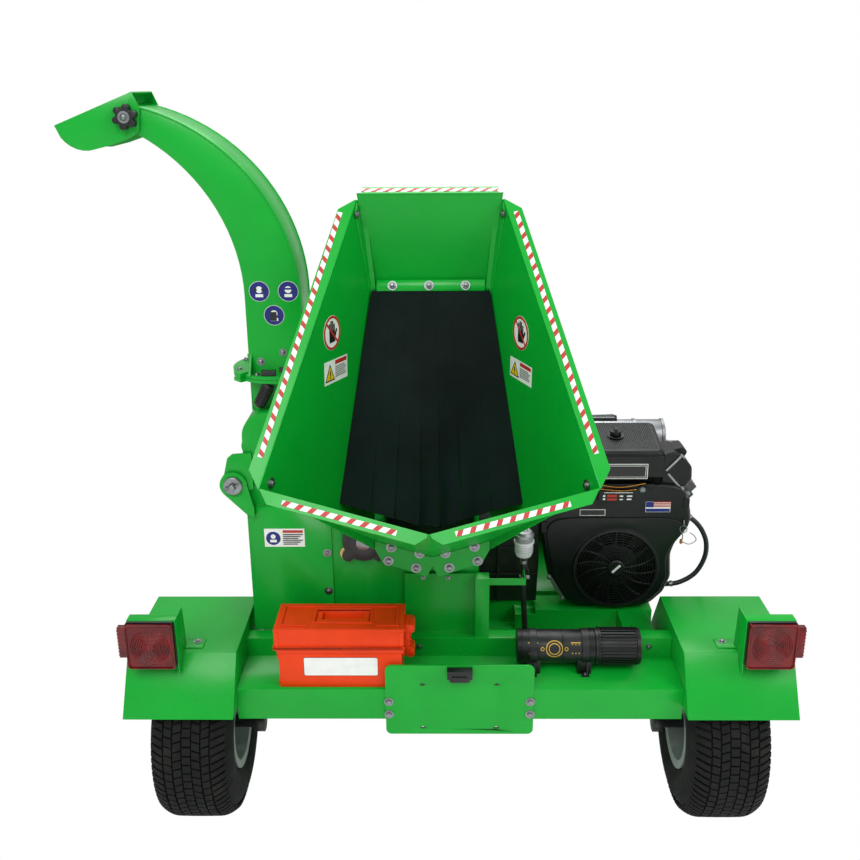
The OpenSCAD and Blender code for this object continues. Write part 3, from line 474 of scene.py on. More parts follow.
# every repeated screw head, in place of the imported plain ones
THROAT = [(-165.5, 736.6), (-173.4, 699.9), (-96.4, 720.2), (-105.1, 680.6), (-33.2, 720.6), (-23.1, 681.2),
    (38.2, 738.1), (46.2, 699.5)]
heads = [bolt((x, -15.1, z), REAR, 8.6, 1.5) for x, z in THROAT]
heads += [bolt((x, -15.1, 653), REAR, 5) for x in (-88, -26)]
heads += [bolt((-328, 19.9, z), REAR, 7, 1.5) for z in (705, 599)]
heads += [bolt((x, -20.1, 462), REAR, 6, 1.3) for x in (-290, -100, 150, 480)]
heads += [bolt((x, -175.1, z), REAR, 8.4, 1.35) for x in (-170, 170) for z in (404, 369)]
heads += [bolt((x, -94, 521.2), UP, 6.5, 1.5) for x in (-640, 640)]
replace(make("fastener_heads", heads, ZINC, bevel=0.25, segments=1), "fasteners")
bolts("bearing_bolt", [(-277, 22, 703)], 10, shader=YELLOW_ZINC, washer=1.9)
bolts("corner_bolt_left", [(-374, -428, 1073)], 8, IN_LEFT, washer=1.5)
bolts("corner_bolt_right", [(242, -424, 1066)], 8, IN_RIGHT, washer=1.5)
bolts("tab_bolt_left", [(-221, -60, 1545)], 7, IN_LEFT, washer=1.3)
bolts("tab_bolt_right", [(91, -60, 1545)], 7, IN_RIGHT, washer=1.3)
# The curtain hangs from HEAD, the middle of its top edge, leaning back from the vertical.
HEAD = (-65, -6, 1366)
LEAN = radians(19.9)
SIN, COS = sin(LEAN), cos(LEAN)
clamp_out = (0, -COS, SIN)
clamp_at = [(x, HEAD[1] - 5.3 * COS + 13.5 * SIN, HEAD[2] + 13.5 * COS + 5.3 * SIN) for x in (-151, -69, 13)]
bolts("clamp_washers", clamp_at, 8.4, clamp_out, washer=1.3)
make("clamp_studs", [lathe([(0, 0), (4, 0), (4, 16), (3, 18), (0, 18)], p, clamp_out, 16) for p in clamp_at],
    ZINC)


def stack(name, place, layers, body="frame"):
    """Flat printed shapes laid on a surface, each a hair above the one below."""
    for i, (shader, outlines) in enumerate(layers):
        parts = [prism(o, 0.35, lambda u, v, h, i=i: place(u, v, h + 0.15 + 0.3 * i)) for o in outlines]
        make("%s_%d" % (name, i), parts, shader, body)


def rect(x0, y0, x1, y1):
    return [(x0, y0), (x1, y0), (x1, y1), (x0, y1)]


def circle(cx, cy, r, n=40):
    return [orbit(cx, cy, r, 2 * pi * i / n) for i in range(n)]


def bar(p, q, w):
    d = (Vector(q) - Vector(p)).normalized() * w / 2
    e = Vector((-d.y, d.x))
    return [tuple(Vector(p) - e), tuple(Vector(q) - e), tuple(Vector(q) + e), tuple(Vector(p) + e)]


def hand(k):
    """A plain upright palm with four fingers and a thumb."""
    out = [rect(-9 * k, -15 * k, 9 * k, 4 * k)]
    for i, top in enumerate((15, 19, 18, 13)):
        x = (-9 + 4.8 * i) * k
        out.append(rect(x, 3 * k, x + 3.8 * k, top * k))
    out.append(bar((8 * k, -8 * k), (15 * k, 4 * k), 4.5 * k))
    return out


def keep_out(name, place, r):
    """Round no-reaching-in sign: red ring and slash over a dark hand."""
    stack(name, place, [(WHITE, [circle(0, 0, r)]), (DARK, hand(r / 27)),
        (RED, [bar((-0.66 * r, 0.66 * r), (0.66 * r, -0.66 * r), 0.13 * r)])])
    verts, faces = ring(0.84 * r, 0.98 * r, 1.2, 0.2, (0, 0, 0), UP)
    make(name + "_ring", ([place(*v) for v in verts], faces), RED)


def caution(name, place, w, h):
    """Upright notice: red heading, yellow triangle, grey rules."""
    part = lambda a, b, c, d: rect(a * w, b * h, c * w, d * h)
    wedge = lambda half, foot, tip: [((-0.27 - half) * w, foot * h), ((-0.27 + half) * w, foot * h),
        (-0.27 * w, tip * h)]
    rules = [part(-0.04, 0.14 - 0.085 * i, 0.42 if i % 3 else 0.36, 0.17 - 0.085 * i) for i in range(6)]
    stack(name, place, [
        (WHITE, [part(-0.5, -0.5, 0.5, 0.5)]), (RED, [part(-0.04, 0.26, 0.46, 0.44)]),
        (DARK, rules + [wedge(0.2, -0.38, 0.36)]), (YELLOW, [wedge(0.15, -0.32, 0.24)]),
        (DARK, [part(-0.29, -0.16, -0.25, 0.06), part(-0.29, -0.26, -0.25, -0.2)])])


def on_side(side, y, z, tilt=0.0):
    """Places an outline on a hopper side panel, seen from inside the hopper."""
    u, v = Vector((0.375, -side * 0.927, 0)).normalized(), Vector(UP)
    turned = u * cos(tilt) + v * sin(tilt)
    return axes((-65 + side * (136 - FLARE * y), y, z), turned, -u * sin(tilt) + v * cos(tilt))


keep_out("sign_left", on_side(-1, -176, 1313), 37)
keep_out("sign_right", on_side(1, -143, 1303), 37)
caution("notice_left", on_side(-1, -165, 1229, -0.04), 104, 50)
caution("notice_right", on_side(1, -147, 1219, -0.02), 104, 44)

# bent hems where the side panels meet the tape flanges: a bright worn edge
for side, name in SIDES:
    line = [MOUTH(side * 326, 90.5, -1.0), MOUTH(side * 158.5, 736.7, -1.0)]
    make("hem_" + name, tube(line, 1.6, 10, 0), GREEN, smooth=True)

# strips behind the joints of the back panel and the side panels
for side, name in SIDES:
    foot, head = [Vector((-65 + side * (136 - FLARE * y), y, z)) for y, z in ((1, 1345), (-49, 1588))]
    strip_at = lambda u, v, w, p=foot, q=head: p + (q - p) * v + Vector((u, 3 + w, 0))
    u0, u1 = -5 - 9 * (side > 0), 5 + 9 * (side < 0)
    make("joint_strip_" + name, prism(rect(u0, 0, u1, 0.94), 2.5, strip_at), GREEN, bevel=0.4)

# ---- curtain

CURTAIN_THICK = 3.6


def curtain_point(u, s, w):
    """u across, s down the curtain from its top edge, w towards the feed end."""
    return HEAD[0] + u, HEAD[1] - s * SIN - w * COS, HEAD[2] - s * COS + w * SIN


def strip(a, b, start, foot_a, foot_b, curl, phase, n=40, m=8):
    """One strip of the sheet between the cuts a and b (shares of its half width), free below `start`."""
    top, back = [], []
    for i in range(n + 1):
        t = i / n
        for j in range(m + 1):
            k = j / m
            s = -3 + (foot_a + (foot_b - foot_a) * k + 3) * t
            c = a + (b - a) * k
            free = max(0.0, (s - start) / (length - start))
            loose = min(1, 3 * free)
            gap = 0.2 + 1.3 * loose
            u = c * (half_top + (half_foot - half_top) * t) + gap * (0.5 - k)
            # stand-off from the back panel: a slow wave, the strip's curl, and a ripple across its free part
            w = 2.6 + 0.9 * sin(3.1 * c + 4 * t) * t
            w += curl * free ** 2 * (1.3 * (k - 0.5) + 0.45) + 1.5 * loose * sin(5.0 * k + phase)
            top.append(curtain_point(u, s, max(-2, w)))
            back.append(curtain_point(u, s, max(-2, w) - CURTAIN_THICK))
    verts = top + back
    k = len(top)
    faces = []
    for i in range(n):
        for j in range(m):
            q = i * (m + 1) + j
            faces += [[q, q + 1, q + m + 2, q + m + 1], [k + q, k + q + m + 1, k + q + m + 2, k + q + 1]]
    row = m + 1
    rim = [j for j in range(row)] + [i * row + m for i in range(1, n + 1)]
    rim += [n * row + j for j in range(m - 1, -1, -1)] + [i * row for i in range(n - 1, 0, -1)]
    for p, q in zip(rim, rim[1:] + rim[:1]):
        faces.append([p, p + k, q + k, q])
    return verts, faces


# half widths of the curtain at its top and foot, its length, its cuts, and where each strip comes free
half_top, half_foot, length = 133, 207, 528
cuts = [-1.0, -0.66, -0.40, -0.13, 0.10, 0.34, 0.66, 1.0]
slit_top = [390, 330, 250, 290, 230, 320, 400]
strips = []
for i, (a, b) in enumerate(zip(cuts, cuts[1:])):
    foot = [length - 58 * max(0.0, abs(c) - 0.08) for c in (a, b)]
    strips.append(strip(a, b, slit_top[i], foot[0], foot[1], random.uniform(-18, 30), random.uniform(0, 6)))
sheet = replace(make("curtain_strips", strips, CURTAIN, "curtain", smooth=True), "curtain")
sheet.data.set_sharp_from_angle(angle=0.7)
make("curtain_bead", lathe([(0, -132), (2.6, -132), (2.9, -130), (2.9, 130), (2.6, 132), (0, 132)],
    (-65, -7.0, 1363.2), ACROSS, 20), CURTAIN, "curtain")

# ---- tyres

# the wheels' centre, a little to the feed end of the axle tube, and half their track
WHEEL_Y, WHEEL_Z, HALF_TRACK = -10, 235, 655


def tyre_radius(y):
    """Outer radius of the tread across its width: nearly flat, then round shoulders."""
    t = abs(y) / 100.0
    return WHEEL_Z - 2.5 * t ** 2 - 26 * max(0, t - 0.52) ** 2 / 0.2304 - 0.2


def tread(side, name):
    """Carcass with circumferential grooves, and blocks cut by slanted sipes."""
    cx = side * HALF_TRACK
    centre = (cx, WHEEL_Y, WHEEL_Z)
    inside = [(205, 20), (190, 62), (150, 80), (102, 70), (102, 83)]
    wall = [(121, 84), (139, 95.5), (165, 100), (186, 98), (201, 90)]
    crown = [(tyre_radius(y) - 7.5, y) for y in (78, 66, 50, 30, 10, -10, -30, -50, -66, -78)]
    mirrored = lambda half: [(r, -y) for r, y in half[::-1]]
    carcass = mirrored(inside) + inside + wall + crown + mirrored(wall)
    body = name + "_wheel"
    replace(make(name + "_carcass", lathe(carcass, centre, ACROSS, 96, True), TYRE, body, smooth=True),
        name + "_tyre")
    verts, faces = [], []
    rows = [(-89, -58, 74, 3.0), (-54, -36, 66, 1.4), (-32, -13, 66, -1.4), (-10, 10, 66, 0.0),
        (13, 32, 66, 1.4), (36, 54, 66, -1.4), (58, 89, 74, -3.0)]
    for row, (y0, y1, count, skew) in enumerate(rows):
        for i in range(count):
            a0 = 2 * pi * (i + 0.5 * (row % 2)) / count
            width = 2 * pi / count * (0.84 if abs(y0 + y1) < 110 else 0.70)
            shrink = random.uniform(0.94, 1.0)
            base = len(verts)
            steps = 4 if abs(y0 + y1) > 110 else 2
            for depth in (9.5, 0.0):
                for k in range(steps + 1):
                    y = y0 + (y1 - y0) * k / steps
                    r = tyre_radius(y) - depth
                    twist = radians(skew) * (k / steps - 0.5)
                    for s in (0, 1):
                        a = a0 + width * s * shrink + twist
                        verts.append((cx + y, WHEEL_Y + r * cos(a), WHEEL_Z + r * sin(a)))
            n = 2 * (steps + 1)
            for k in range(steps):
                q = base + 2 * k
                faces += [[q, q + 1, q + 3, q + 2], [q + n, q + n + 2, q + n + 3, q + n + 1]]
                faces += [[q, q + 2, q + n + 2, q + n], [q + 1, q + n + 1, q + n + 3, q + 3]]
            e = base + 2 * steps
            faces += [[base, base + n, base + n + 1, base + 1], [e, e + 1, e + n + 1, e + n]]
    make(name + "_tread", (verts, faces), TYRE, body)
    # hub cap and valve
    parts = [lathe([(18, 0), (30, 0), (30, 22), (24, 27), (0, 28)], (cx + side * 48, WHEEL_Y, WHEEL_Z),
        (side, 0, 0), 32)]
    valve = [(cx + side * u, WHEEL_Y + v, WHEEL_Z + w) for u, v, w in ((30, 84, 10), (52, 88, 12),
        (66, 88, 12))]
    parts.append(tube(valve, 3.2, 10, 4))
    make(name + "_hub_cap", parts, ZINC, body, bevel=0.5, segments=1)


for side, name in SIDES:
    tread(side, name)

# ---- engine


def loft(loops, close=True):
    """Quads between successive loops of equal length; close joins the last to the first."""
    n, verts, faces = len(loops[0]), [p for l in loops for p in l], []
    m = len(loops)
    for k in range(m if close else m - 1):
        j = (k + 1) % m
        for i in range(n):
            q = (i + 1) % n
            faces.append([k * n + i, k * n + q, j * n + q, j * n + i])
    return verts, faces


# the shroud's outline in X-Z, and the shroud as loops round the crankshaft
SHROUD = [(222, 678), (246, 543), (266, 495), (302, 457), (340, 441), (502, 441), (534, 453), (566, 486),
    (583, 531), (578, 600), (590, 642), (622, 680), (626, 712), (613, 767), (592, 800), (548, 806),
    (312, 806), (252, 796), (224, 752)]
CRANK = (FAN[0], FAN[2])
FAN_HOLE = 112
N_POLAR = 144


def reach(t):
    """Distance from the crankshaft to the shroud's outline in direction t."""
    d = Vector((cos(t), sin(t)))
    best = 0
    for a, b in zip(SHROUD, SHROUD[1:] + SHROUD[:1]):
        a, e = Vector(a) - Vector(CRANK), Vector(b) - Vector(a)
        den = d.x * e.y - d.y * e.x
        if abs(den) > 1e-9:
            s = (a.x * d.y - a.y * d.x) / den
            r = (a.x * e.y - a.y * e.x) / den
            if -1e-6 <= s <= 1 + 1e-6 and r > best:
                best = r
    return best


angles = [2 * pi * i / N_POLAR for i in range(N_POLAR)]
edge = [reach(t) for t in angles]
edge = [(edge[i - 1] + 2 * edge[i] + edge[(i + 1) % N_POLAR]) / 4 for i in range(N_POLAR)]


def polar(radii, y):
    """A loop round the crankshaft at depth y, of one radius or one for each angle."""
    radii = radii if isinstance(radii, list) else [radii] * N_POLAR
    return [(CRANK[0] + r * cos(t), y, CRANK[1] + r * sin(t)) for r, t in zip(radii, angles)]


def between(near, far=None):
    """Radii `near` outside the fan opening or `far` inside the edge, kept apart where it is narrow."""
    if near is not None:
        return [FAN_HOLE + min(near, 0.4 * (e - FAN_HOLE)) for e in edge]
    return [e - min(far, 0.4 * (e - FAN_HOLE)) for e in edge]


shroud = loft([polar(110.5, 240), polar(FAN_HOLE, 217), polar(between(4), 213.5), polar(between(10), 214.5),
    polar(between(15), 218), polar(between(None, 12), 219), polar(between(None, 4), 223), polar(edge, 232),
    polar(edge, 302), polar(between(None, 7), 302), polar(between(None, 7), 228), polar(between(14), 226)])
replace(make("shroud_skin", shroud, SATIN, smooth=True), "blower_shroud")
panel = []
for e, t in zip(edge, angles):
    r = e - min(15, 0.5 * (e - FAN_HOLE))
    if sin(t) > 0.05:
        # the raised panel ends in a level line, blended into the sides by a high power
        flat = 149 / sin(t)
        r = (r ** -7 + flat ** -7) ** (-1 / 7)
    panel.append(max(r, 117))
face = loft([polar(116, 219), polar(116, 214.5), polar([max(r - 3, 116.5) for r in panel], 213),
    polar(panel, 215.5), polar(panel, 220)])
make("shroud_face", face, SATIN, smooth=True)
inset = [e - 5 for e in edge]
make("shroud_back", loft([polar(20, 299), polar(20, 296), polar(inset, 296), polar(inset, 299)]), PLASTIC)

# fan guard: fine rings, curved spokes, hub disc
guard = [ring(r - 0.9, r + 0.9, 213.5, 216, FAN, AHEAD, 64) for r in range(30, 110, 7)]
guard.append(lathe([(109, 209), (116, 209), (118, 212), (118, 219), (109, 219)], FAN, AHEAD, 80, True))
for i in range(16):
    a = 2 * pi * i / 16
    pts = []
    for k in range(7):
        r = 20 + 92 * k / 6
        t = a + 0.32 * (k / 6) ** 1.4
        pts.append((FAN[0] + r * cos(t), 216.5, FAN[2] + r * sin(t)))
    guard.append(tube(pts, 1.5, 6, 1))
replace(make("guard_rings", guard, PLASTIC), "fan_guard")
make("guard_hub", lathe([(0, 208), (20, 208), (24, 211), (24, 218), (0, 218)], FAN, AHEAD), SATIN)
stack("hub_badge", axes((FAN[0], 207.9, FAN[2]), (1, 0, 1), (-1, 0, 1)),
    [(WHITE, [rect(-15, -3.2, 15, 3.2)])])

# air cleaner: domed cover with ribs running front to back


def cover_z(y):
    """Height of the sloping cover."""
    return 897 + 24 * (y - 223) / 180


def cover_loop(t, drop):
    """Rounded outline of the cover, t inside its edge and `drop` below its top."""
    pts = []
    corners = [(312 + t, 223 + t), (543 - t, 223 + t), (546 - t, 402 - t), (312 + t, 402 - t)]
    for i, (x, y) in enumerate(corners):
        cx, cy = x + (14 if i in (0, 3) else -14), y + (14 if i < 2 else -14)
        for k in range(6):
            px, py = orbit(cx, cy, 14, radians(180 + 90 * i + 18 * k))
            pts.append((px, py, cover_z(py) - drop))
    return pts


low = [(x, y, 806) for x, y, z in cover_loop(0, 0)]
shell = loft([low, cover_loop(0, 14), cover_loop(0.8, 8), cover_loop(4, 2.5), cover_loop(11, 0)], False)
n_loop = len(low)
shell[1].append(list(range(n_loop))[::-1])
shell[1].append([4 * n_loop + i for i in range(n_loop)])
replace(make("cleaner_cover", shell, SATIN, smooth=True), "air_cleaner")
ribs = []
for i in range(42):
    x = 328 + 4.8 * i
    for a, b in [(240, 288), (332, 392)] if abs(x - 426) < 18 else [(240, 392)]:
        za, zb = cover_z(a), cover_z(b)
        foot = [(x, a, za - 1), (x + 2.2, a, za - 1), (x + 2.2, b, zb - 1), (x, b, zb - 1)]
        crest = [(x + u, y, z + 1.6) for u, y, z in ((0.5, a + 2, za), (1.7, a + 2, za), (1.7, b - 2, zb),
            (0.5, b - 2, zb))]
        ribs.append((foot + crest, [[0, 3, 2, 1], [4, 5, 6, 7], [0, 1, 5, 4], [1, 2, 6, 5], [2, 3, 7, 6],
            [3, 0, 4, 7]]))
make("cleaner_ribs", ribs, RIBBED)
make("cleaner_dish", lathe([(15.5, 0), (21, 0), (22, 2.6), (15.5, 2.6)], (426, 310, 910), (0, -0.13, 1), 32,
    True), RIBBED)
make("cleaner_band", box(314, 219.5, 826, 541, 223.4, 884), SATIN, bevel=1.2)
stack("plaque", facing(219.3), [(WHITE, [rect(340, 822, 500, 864)]), (DARK,
    [rect(341.8, 823.8, 498.2, 862.2)]), (WHITE, [rect(345, 827, 495, 859)]),
    (DARK, [rect(346.2, 828.2, 493.8, 857.8)])])
make("cleaner_foot", box(330, 214, 795, 520, 224, 808), SATIN, bevel=2)
make("throttle_rods", [tube([(372, 211, 808), (430, 209, 802), (494, 211, 812)], 1.6, 8, 4),
    tube([(370, 210, 797), (430, 207, 793), (470, 208, 796)], 1.6, 8, 4)], AMBER, smooth=True)
make("control_plate", prism([(372, 760), (474, 760), (500, 786), (502, 800), (486, 806), (466, 792),
    (372, 792)], 4, xz(213)), SATIN, bevel=1)
bolts("control_bolt", [(487, 209, 795)], 6.5)
stack("control_marks", facing(208.9), [(WHITE, [rect(386, 786, 462, 787.6), rect(384, 775, 390, 780),
    rect(384, 766, 390, 771), rect(428, 775, 437, 779), rect(428, 766, 437, 769), rect(447, 775, 461, 779),
    rect(447, 766, 459, 770)]), (RED, [rect(395, 774, 420, 781), rect(395, 765, 420, 771)])])
DECAL = facing(218.6)
stack("shroud_label", DECAL, [(WHITE, [rect(500, 727, 566, 757)]), (BLUE,
    [rect(500.5, 741, 521, 756.5), rect(501, 728, 565, 737)]), (RED, [rect(521, 742 + 4.3 * i, 565.5,
    744.4 + 4.3 * i) for i in range(4)])])
stack("lip_label", DECAL, [(WHITE, [rect(326, 717, 394, 735)]), (DARK, [rect(327.6, 718.6, 392.4, 733.4)])])

# right cylinder head cover with its brackets, the breather hose and the small parts beside the shroud
make("head_cover", prism([(540, 792), (540, 886), (566, 893), (588, 884), (620, 848), (622, 815), (600, 780),
    (575, 776)], 96, xz(330)), SATIN, bevel=7, segments=3)
make("head_cap", prism([(556, 886), (598, 896), (612, 880), (602, 862)], 60, xz(322)), SATIN, bevel=5)
make("head_brackets", [prism(bar((550, 840), (590, 884), 6), 4, xz(233)),
    prism(bar((556, 832), (600, 782), 6), 4, xz(233)), prism(bar((586, 886), (597, 876), 5), 5, xz(233))],
    GALV, bevel=1)
bolts("head_bolts", [(595, 231, 789), (612, 231, 776)], 6)
make("breather_hose", tube([(618, 250, 703), (640, 240, 690), (662, 240, 662), (676, 240, 624),
    (674, 240, 580), (652, 240, 535), (613, 242, 507), (574, 246, 498)], 6.6, 14), HOSE, smooth=True)
make("hose_clamps", [ring(6.6, 8.4, -4, 4, (626, 246, 700), (1, -0.3, -0.6), 20),
    ring(6.6, 8.4, -4, 4, (590, 244, 501), (1, -0.1, 0.3), 20)], ZINC)
loop = [(604 + 9.5 * cos(a), 213 + 1.5 * sin(a), 679 + 9.5 * sin(a))
    for a in [2 * pi * i / 24 for i in range(25)]]
make("ring_pin", [tube(loop, 1.3, 8, 0), tube([(604, 215, 704), (604, 213, 690)], 2.2, 8, 2),
    tube([(602, 213, 668), (603, 212, 655), (600, 212, 646)], 1.6, 8, 3)], ZINC, smooth=True)
make("lanyard", tube([(602, 212, 643), (622, 212, 636), (640, 214, 646), (634, 214, 660), (622, 215, 668)],
    1.2, 8), ZINC, smooth=True)
make("copper_tip", lathe([(0, 0), (4, 0), (4.4, 9), (2, 12), (0, 12)], (600, 212, 649), (0, 0, -1), 16),
    AMBER)
make("side_strap", prism([(244, 540), (252, 545), (296, 470), (288, 464)], 3, xz(216)), GALV, bevel=0.6)
bolts("strap_bolts", [(250, 213, 536), (288, 213, 472)], 5.5)
make("shroud_clips", [box(224, 214, 668, 240, 222, 700), box(600, 216, 742, 616, 224, 766)], SATIN, bevel=2)

# muffler: bands, end cap, outlet and its tab
MUFFLER, OUTLET = (0, 470, 857), (0, 470, 828)
parts = [ring(44, 47.5, x - 4, x + 4, MUFFLER, ACROSS, 64) for x in (336, 420, 505, 584)]
parts.append(ring(12, 15, 597, 603, OUTLET, ACROSS, 32))
parts.append(lathe([(0, 587), (30, 587), (34, 590), (34, 592), (0, 592)], MUFFLER, ACROSS))
make("muffler_bands", parts, GALV, bevel=0.8)
# a dark disc across the outlet stands for the shade inside the pipe: painted shade
make("outlet_mouth", disc(10.4, 626.5, 627.6, OUTLET, ACROSS, 32), DARK)
make("exhaust_tab", [prism([(372, 905), (454, 905), (452, 922), (440, 926), (374, 924)], 3, xz(452)),
    box(380, 440, 916, 446, 452, 919)], GALV, bevel=0.8)
# plug leads
make("plug_leads", [tube([(300, 300, 806), (270, 310, 800), (248, 330, 760), (252, 360, 720)], 3.6, 10),
    tube([(560, 330, 790), (590, 350, 760), (600, 380, 720)], 3.6, 10)], HOSE, smooth=True)

# ---- toolbox and canister

lid = [box(-443, -169, 541.2, -129, -163, 551), box(-443, -169, 541.2, -437, -37, 551),
    box(-135, -169, 541.2, -129, -37, 551), box(-443, -43, 541.2, -129, -37, 551)]
lid += [box(x - 5, -168, 551, x + 5, -164, 588) for x in (-434, -138)]
lid += [box(-441, -164, 588, -129.5, -160, 596), box(-428, -150, 594, -360, -144, 598.5),
    box(-200, -150, 594, -144, -144, 598.5), box(-428, -60, 594, -144, -54, 598.5)]
lid += [box(-428, -148, 594, -422, -56, 598.5), box(-152, -148, 594, -146, -56, 598.5)]
make("lid_ribs", lid, ORANGE, "toolbox_lid", bevel=1.6)
make("lid_recess", [box(-352, -136, 590, -208, -130, 597.5), box(-352, -70, 590, -208, -64, 597.5),
    box(-352, -131, 590, -346, -69, 597.5), box(-214, -131, 590, -208, -69, 597.5)], ORANGE, "toolbox_lid",
    bevel=1.6)
body = [box(-436, -164, 530, -132.5, -159.5, 539.5)]
body += [box(-437, -150, 436, -431.6, -50, 448), box(-440, -140, 500, -431.6, -110, 538),
    box(-440, -90, 500, -431.6, -60, 538)]
make("toolbox_ribs", body, ORANGE, bevel=1.6)
make("latch_ribs", [box(-121, -127, z, -116.5, -79, z + 5) for z in (520, 532, 544, 556)], ORANGE,
    "toolbox_latch", bevel=1)
label = lambda w, h, r: [(x - 284, y + 492) for x, y in round_rect(w, h, r)]
stack("toolbox_label", facing(-160), [(DARK, [label(178, 50, 5)]), (WHITE, [label(176, 48, 4)])])

cap = []
for i in range(30):
    a = 2 * pi * i / 30
    place = axes((346, CANISTER[1], CANISTER[2]), (0, cos(a), sin(a)), ACROSS)
    cap.append(prism([(43, 0), (46.4, 2), (46.4, 84), (43, 86)], 4.2, lambda u, v, w,
        p=place: p(u, v, w - 2.1)))
cap.append(ring(43, 46.8, 340, 345, CANISTER, ACROSS, 64))
cap.append(lathe([(0, 443), (40, 443), (45.5, 440), (46.5, 434), (43, 434)], CANISTER, ACROSS, 64))
make("canister_cap_ribs", cap, SATIN, "canister_cap")
rings = [ring(40, w, x, x + d, CANISTER, ACROSS, 64) for x, d, w in ((143, 6, 43), (153, 2, 42), (252, 3, 42),
    (318, 14, 44))]
make("canister_rings", rings, SATIN, bevel=0.6)
clamps = []
for x in (172, 300):
    clamps.append(ring(41, 43.6, x, x + 18, CANISTER, ACROSS, 56))
    clamps.append(box(x, -118, 436, x + 18, -104, 441))
    clamps.append(prism([(-104, 436), (-118, 436), (-116, 452), (-106, 470)], 4,
        axes((x + 11, 0, 0), AHEAD, UP)))
make("canister_clamps", clamps, PLASTIC, bevel=0.8)
bolts("clamp_bolts", [(181, -111, 441), (309, -111, 441)], 5, UP)


def on_canister(u, v, w):
    """u along the canister, v round it from the height facing the feed end."""
    a = v / 41.0 + 0.35
    return u, CANISTER[1] - (41.2 + w) * cos(a), CANISTER[2] + (41.2 + w) * sin(a)


def band(cx, cy, r0, r1, n=40):
    turns = [(2 * pi * i / n, 2 * pi * (i + 1) / n) for i in range(n)]
    return [[orbit(cx, cy, r, t) for r, t in ((r0, a), (r1, a), (r1, b), (r0, b))] for a, b in turns]


gold = band(232, 0, 18.5, 21) + band(232, 0, 12, 14)
for start in (172, 276):
    gold += [bar((start + 8 * i, -12), (start + 8 * i, 12), 2.6) for i in range(3)]
    gold.append(bar((start - 4, 15), (start + 20, 15), 2.6))
gold += band(203, 0, 3, 5, 12) + band(261, 0, 3, 5, 12)
stack("canister_print", on_canister, [(GOLD, gold)])

# ---- fuel filter and its hose

fx, fy = 166, 64
FILTER_AT = (fx, fy, 0)
replace(make("filter_can", lathe([(0, 712), (17, 712), (21, 715), (22.5, 719), (22.5, 729), (25, 730),
    (25, 736), (22, 738), (20, 743), (15, 746), (0, 746)], FILTER_AT, UP, 40), GALV,
    bevel=0.5), "fuel_filter")
make("filter_bowl", lathe([(0, 672), (9, 672), (19, 676), (23, 686), (23.5, 712), (26, 713), (26, 718),
    (0, 718)], FILTER_AT, UP, 40), FILTER, bevel=0.5)
make("filter_bands", [ring(22.4, 23.6, z, z + 1.5, FILTER_AT, UP, 40)
    for z in (720, 723, 726, 692, 698, 704)], GREY)
make("filter_prongs", [lathe([(0, 744), (3.4, 744), (3.4, 758), (2.4, 761), (0, 761)], (fx + dx, fy + dy, 0),
    UP, 14) for dx, dy in ((-9, 0), (0, -5), (9, 0))], WHITE)
make("fuel_hose", [tube([(fx, fy, 676), (fx, fy, 640), (fx + 2, fy + 1, 560), (fx + 7, fy + 2, 480),
    (fx + 10, fy + 2, 400)], 7.5, 14), prism([(fx + 6, 660), (fx + 15, 630), (fx + 13, 622), (fx + 6, 640)],
    3, xz(fy + 1))], HOSE, smooth=True)
make("hose_clips", [ring(7.4, 9.4, z, z + 8, FILTER_AT, UP, 24) for z in (655, 610)] + [box(fx + 7, fy - 4,
    611, fx + 16, fy + 4, 617)], ZINC)
make("filter_bracket", [box(76, 4, 622, 168, 8, 640), box(164, 8, 622, 168, 58, 640)], GREEN, bevel=1)

# ---- lamps

LAMP_X, LAMP_Z = 724.5, 568
for side, name in SIDES:
    glass = axes((side * LAMP_X, -199.1, LAMP_Z), ACROSS, UP)
    rings = []
    for i, r in enumerate(range(10, 50, 5)):
        v, f = lathe([(r - 1.8, 0), (r, 2.0), (r + 1.8, 0)], (0, 0, 0), UP, 48, True)
        rings.append(([glass(a, b, c) for a, b, c in v], f))
    rings.append(prism(round_rect(103, 106, 10), 0.6, glass))
    make(name + "_lens_rings", rings, LENS, bevel=0.3, segments=1)
    frame_of = lambda place, steps: loft([[place(*p, w) for p in round_rect(*size)] for size, w in steps])
    outer, inner = (112, 115, 9), (106, 109, 7)
    make(name + "_lens_rim", frame_of(glass, ((outer, -3), (outer, 3.2), (inner, 3.2), (inner, -3))), LENS,
        bevel=0.6)
    seal = axes((side * LAMP_X, -182, LAMP_Z), ACROSS, UP)
    outer, inner = (116, 120, 9), (108, 112, 7)
    make(name + "_lamp_seal", frame_of(seal, ((outer, 0), (outer, 8), (inner, 8), (inner, 0))), PLASTIC,
        bevel=0.8)
    x = 799 if side > 0 else -801
    side_rows = [box(x, -194, z, x + 2, -184, z + 4) for z in range(542, 614, 9)]
    make(name + "_marker_ribs", side_rows, LENS)
make("plate_lamp_glass", box(-18, -199.5, 472, 18, -196.5, 486), PLASTIC, bevel=0.6)
# dark patches on the plate where its slots are stand for the shade in the openings: painted shade
make("plate_slots", [box(x - 6, -175.5, z - 2, x + 6, -174.9, z + 2) for x in (-89, 89) for z in (452, 331)],
    DARK)

# ---- chute, swivel and deflector

